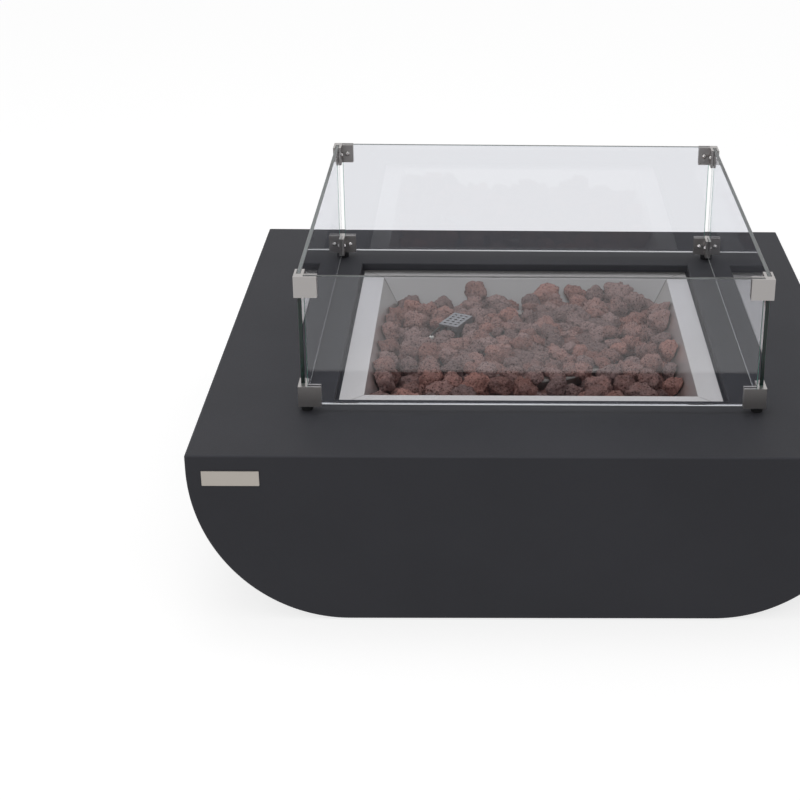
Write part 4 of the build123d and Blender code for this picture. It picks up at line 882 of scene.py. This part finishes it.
    def build(self) -> None:
        """Make the lumps of the top layer, the coarse ones under it and the chips on the rings."""
        tree = self.tree()
        rng = np.random.default_rng(self.seed + 2)
        places, sizes = self.pack()
        upper = places[:, 2] + sizes > self.crown - self.top_layer
        left = places[:, 0] < 0
        log.info("%d lumps in the top layer, %d under it", upper.sum(), (~upper).sum())
        sets = {
            "lava_lumps_left": (places[upper & left], sizes[upper & left], 4),
            "lava_lumps_right": (places[upper & ~left], sizes[upper & ~left], 4),
            "lava_lumps_under": (places[~upper], sizes[~upper], 2),
            "lava_chips": (*self.chips(), 4),
        }
        for name, (where, radii, detail) in sets.items():
            girth = radii[:, None] * rng.uniform(*self.girth, (len(radii), 3))
            if name == "lava_chips":
                girth[:, 2] *= self.chip_flatness
            spin = rng.uniform(-1, 1, (len(radii), 3)) * (self.tilt, self.tilt, math.pi)
            piece = tree.bake(name, "lava_rock", where, girth, spin, Detail=detail, Seed=self.seed)
            self.trim(piece.data)
            self.keep(piece, "lava_rock", "lava_rock_bed")


@dataclass
class WindGuard(Assembly):
    """The glass guard's screw heads and the ground lower edges of its panes."""

    body: str = "wind_guard"
    side: float = 0.716
    leg_width: float = 0.0146
    leg: float = 0.035
    levels: tuple[float, float] = (0.285, 0.463)
    height: float = 0.033
    head_radius: float = 0.0045
    head_rise: float = 0.0032
    socket_radius: float = 0.0014
    socket_depth: float = 0.003
    pane_middle: float = 0.3511
    pane_half: float = 0.0029
    pane_z: float = 0.288
    edge_half: float = 0.322
    edge_skin: float = 0.0004

    def tree(self) -> GeometryTree:
        """Return the tree that sets a domed head with a hex socket on each point."""
        tree = GeometryTree("domed_screws", Radius=self.head_radius, Rise=self.head_rise,
                            Socket=self.socket_radius)
        given, node = tree.given, tree.node
        ball = node("GeometryNodeMeshUVSphere", {"Segments": 28, "Rings": 18, "Radius": 1.0})
        place = node("GeometryNodeInputPosition")
        x, y, z = add_node(tree.tree, "ShaderNodeSeparateXYZ", {0: place}).outputs
        upper = node("ShaderNodeCombineXYZ", {0: x, 1: y, 2: reckon(tree.tree, "MAXIMUM", z, 0.0)})
        dome = node("GeometryNodeSetPosition", {"Geometry": ball, "Position": upper})
        size = node("ShaderNodeCombineXYZ", {
            0: given["Radius"], 1: given["Radius"], 2: given["Rise"]})
        head = node("GeometryNodeTransform", {"Geometry": dome, "Scale": size})
        pit = node("GeometryNodeMeshCylinder", {
            "Vertices": 6, "Radius": given["Socket"], "Depth": self.socket_depth})
        lift = node("ShaderNodeCombineXYZ", {2: given["Rise"]})
        sunk = node("GeometryNodeTransform", {"Geometry": pit, "Translation": lift})
        cut = node("GeometryNodeMeshBoolean", {0: head, 1: sunk}, operation="DIFFERENCE")
        tree.close(tree.instances(cut))
        return tree

    def lower_edges(self) -> None:
        """Lay the frosted lower edge of each pane, a skin as wide as the glass is thick."""
        mesh = bpy.data.meshes.new("ground_edges")
        vertices, faces = [], []
        for side_x, side_y in ((0, -1), (0, 1), (-1, 0), (1, 0)):
            half_x = self.edge_half if side_y else self.pane_half
            half_y = self.pane_half if side_y else self.edge_half
            first = len(vertices)
            for z in (self.pane_z - self.edge_skin, self.pane_z - self.edge_skin / 4):
                for step_x, step_y in ((-1, -1), (1, -1), (1, 1), (-1, 1)):
                    vertices.append((side_x * self.pane_middle + step_x * half_x,
                                     side_y * self.pane_middle + step_y * half_y, z))
            faces += [tuple(first + i for i in face) for face in (
                (3, 2, 1, 0), (4, 5, 6, 7), (0, 1, 5, 4), (1, 2, 6, 5), (2, 3, 7, 6), (3, 0, 4, 7))]
        mesh.from_pydata(vertices, [], faces)
        mesh.materials.append(FINISHES["ground_edge"].material())
        self.keep(place_object("ground_edges", mesh), "clear_glass")

    def build(self) -> None:
        """Put a domed head on both inner faces of each clamp, and the panes' lower edges."""
        self.lower_edges()
        near = self.side / 2 - self.leg_width
        far = self.side / 2 - (self.leg_width + self.leg) / 2
        places, ways = [], []
        for level, side_x, side_y in product(self.levels, (-1, 1), (-1, 1)):
            z = level + self.height / 2
            places += [(side_x * far, side_y * near, z), (side_x * near, side_y * far, z)]
            ways += [(0, -side_y, 0), (-side_x, 0, 0)]
        spins = [tuple(Vector(way).to_track_quat("Z", "Y").to_euler()) for way in ways]
        piece = self.tree().bake("clamp_screw_heads", "bright_screws", np.array(places),
                                 np.ones((len(places), 3)), np.array(spins))
        self.keep(piece, "bright_screws", "clamp_screws")


@dataclass
class ControlDial(Assembly):
    """The dial printed round the knob: ticks over its arc, longer at its ends and middle."""

    knob_x: float = 0.045
    knob_z: float = 0.150
    panel_y: float = 0.472
    ring: float = 0.0265
    ticks: int = 15
    long_step: int = 7
    long: float = 0.005
    short: float = 0.0028
    arc: float = 210.0
    bar: Triple = (0.0008, 0.0002, 1.0)

    def tree(self) -> GeometryTree:
        """Return the tree that sets a thin bar on each point."""
        tree = GeometryTree("dial_ticks")
        tree.close(tree.instances(tree.node("GeometryNodeMeshCube", {"Size": self.bar})))
        return tree

    def build(self) -> None:
        """Set the ticks round the knob, from the off mark anticlockwise seen from the back."""
        turns = np.radians(np.linspace(0, self.arc, self.ticks))
        lengths = np.where(np.arange(self.ticks) % self.long_step == 0, self.long, self.short)
        radii = self.ring + lengths / 2
        ones, zeros = np.ones(self.ticks), np.zeros(self.ticks)
        places = np.stack([
            self.knob_x + radii * np.sin(turns), ones * (self.panel_y + self.bar[1] / 2),
            self.knob_z + radii * np.cos(turns)], axis=1)
        piece = self.tree().bake("dial_ticks", "black_plastic", places,
                                 np.stack([ones, ones, lengths], axis=1),
                                 np.stack([zeros, turns, zeros], axis=1))
        self.keep(piece, "black_plastic")


@dataclass
class KnobPointer(ControlDial):
    """The white pointer on the knob's face, which turns with it."""

    body: str = "knob"
    face_y: float = 0.5022
    inner: float = 0.0055
    outer: float = 0.0155
    stretch: tuple[float, float] = (2.0, 2.5)

    def build(self) -> None:
        """Set one bar of the dial's tree on the knob, from near its middle towards the off mark."""
        place = (self.knob_x, self.face_y, self.knob_z + (self.inner + self.outer) / 2)
        girth = (*self.stretch, self.outer - self.inner)
        piece = self.tree().bake("knob_pointer", "white_ceramic", np.array([place]),
                                 np.array([girth]), np.zeros((1, 3)))
        self.keep(piece, "white_ceramic")


# ----------------------------------------------------------
# Studio and camera
# ----------------------------------------------------------


@dataclass(frozen=True)
class Lamp:
    """A square soft lamp that looks at the pit."""

    name: str
    place: Triple
    size: float
    power: float
    tint: Triple = (1.0, 1.0, 1.0)
    target: Triple = (0.0, 0.0, 0.2)

    def hang(self) -> None:
        """Hang the lamp in its place."""
        light = bpy.data.lights.new(self.name, "AREA")
        light.size, light.energy, light.color = self.size, self.power, self.tint
        lamp = place_object(self.name, light)
        lamp.location = self.place
        look = Vector(self.target) - Vector(self.place)
        lamp.rotation_euler = look.to_track_quat("-Z", "Y").to_euler()


@dataclass
class Studio:
    """Pale floor, soft lamps and a camera that stands a little above the pit."""

    # the camera, with its focal length and its centre in pixels of the frame
    focal: float = 1672.26
    centre: tuple[float, float] = (525.54, 379.84)
    pitch: float = 0.417830
    roll: float = 0.014180
    yaw: float = 0.023122
    stand: Triple = (-0.003508, -2.680802, 1.363045)
    frame_size: float = 800.0
    sensor: float = 36.0

    # the floor, and the half size of the part of it that the hollow body closes in
    floor_reach: float = 30.0
    floor_tone: float = 0.42
    floor_white: float = 0.74
    footprint: tuple[float, float] = (0.270, 0.495)

    # the soft light: its strength at the horizon and overhead, and the room that gloss sees
    fill: tuple[float, float] = (0.52, 0.56)
    near_gloss: float = 0.32
    gloss_span: tuple[float, float] = (-0.7, 0.5)

    lamps: tuple[Lamp, ...] = (
        Lamp("overhead", (-0.5, 0.3, 3.2), 1.5, 15.0),
        Lamp("left_front", (-1.9, -3.1, 1.5), 1.6, 19.0, (1.0, 0.99, 0.98)),
    )

    def floor(self) -> None:
        """Lay a wide pale floor that keeps the object's shadow."""
        mesh = bpy.data.meshes.new("floor")
        reach = self.floor_reach
        corners = [(-reach, -reach, 0), (reach, -reach, 0), (reach, reach, 0), (-reach, reach, 0)]
        mesh.from_pydata(corners, [], [(0, 1, 2, 3)])
        material = bpy.data.materials.new("studio_floor")
        material.use_nodes = True
        tree = material.node_tree
        tree.nodes.clear()
        clear = self.outside_body(tree)
        seen = either_ray(tree, "Is Camera Ray", "Is Transmission Ray")
        strength = reckon(tree, "MULTIPLY", seen, reckon(tree, "MULTIPLY", clear, self.floor_white))
        tone = (*([self.floor_tone] * 3), 1.0)
        diffuse = output_of(tree, "ShaderNodeBsdfDiffuse", {"Color": tone})
        glow = output_of(tree, "ShaderNodeEmission", {"Color": WHITE, "Strength": strength})
        both = output_of(tree, "ShaderNodeAddShader", {0: diffuse, 1: glow})
        mirrored = output_of(tree, "ShaderNodeEmission", {"Color": WHITE, "Strength": clear})
        mix = output_of(tree, "ShaderNodeMixShader", {
            0: ray(tree, "Is Glossy Ray"), 1: both, 2: mirrored})
        add_node(tree, "ShaderNodeOutputMaterial", {"Surface": mix})
        mesh.materials.append(material)
        ground = place_object("floor", mesh)

    def outside_body(self, tree: Tree) -> Socket:
        """Return a mask that is 0 on the floor that the hollow body closes in, and 1 elsewhere."""
        x, y, _ = plan(tree, add_node(tree, "ShaderNodeTexCoord").outputs["Object"])
        half_x, half_y = self.footprint
        return reckon(tree, "MAXIMUM", reckon(tree, "GREATER_THAN", x, half_x),
                      reckon(tree, "GREATER_THAN", y, half_y))

    def world(self) -> None:
        """Fill with soft light, which camera and glass see as plain white.

        Gloss sees a room that dims to the front.
        """
        world = bpy.data.worlds.new("studio")
        bpy.context.scene.world = world
        world.use_nodes = True
        tree = world.node_tree
        tree.nodes.clear()
        way = add_node(tree, "ShaderNodeTexCoord").outputs["Generated"]
        _, y, z = add_node(tree, "ShaderNodeSeparateXYZ", {0: way}).outputs
        gloss = ranged(tree, y, self.gloss_span, (self.near_gloss, 1.0))
        soft = ranged(tree, z, target=self.fill)
        room = ranged(tree, ray(tree, "Is Glossy Ray"), target=(soft, gloss))
        seen = either_ray(tree, "Is Camera Ray", "Is Transmission Ray")
        level = ranged(tree, seen, target=(room, 1.0))
        back = output_of(tree, "ShaderNodeBackground", {"Color": WHITE, "Strength": level})
        add_node(tree, "ShaderNodeOutputWorld", {"Surface": back})

    def camera(self) -> None:
        """Place the camera; its turn is the body's own slight turn undone."""
        data = bpy.data.cameras.new("camera")
        data.sensor_width = self.sensor
        data.lens = self.focal * self.sensor / self.frame_size
        data.shift_x = (self.frame_size / 2 - self.centre[0]) / self.frame_size
        data.shift_y = (self.centre[1] - self.frame_size / 2) / self.frame_size
        data.clip_end = 100.0
        camera = place_object("camera", data)
        turn = Matrix.Rotation(-self.yaw, 4, "Z")
        tilt = Matrix.Rotation(math.pi / 2 - self.pitch, 4, "X")
        roll = Matrix.Rotation(self.roll, 4, "Z")
        camera.matrix_world = turn @ Matrix.Translation(Vector(self.stand)) @ (tilt @ roll)
        bpy.context.scene.camera = camera

    def build(self) -> None:
        """Set up the whole studio."""
        self.camera()
        self.floor()
        self.world()
        for lamp in self.lamps:
            lamp.hang()
        bpy.context.scene.view_settings.view_transform = "Standard"
        log.info("studio ready")


def main() -> None:
    """Build and dress every sub-assembly."""
    Studio().build()
    for body in frame["record"]["behaviour"]["bodies"]:
        Assembly(body).dress()
    for assembly in (LavaFill(), WindGuard(), ControlDial(), KnobPointer()):
        assembly.build()


if __name__ == "__main__":
    main()
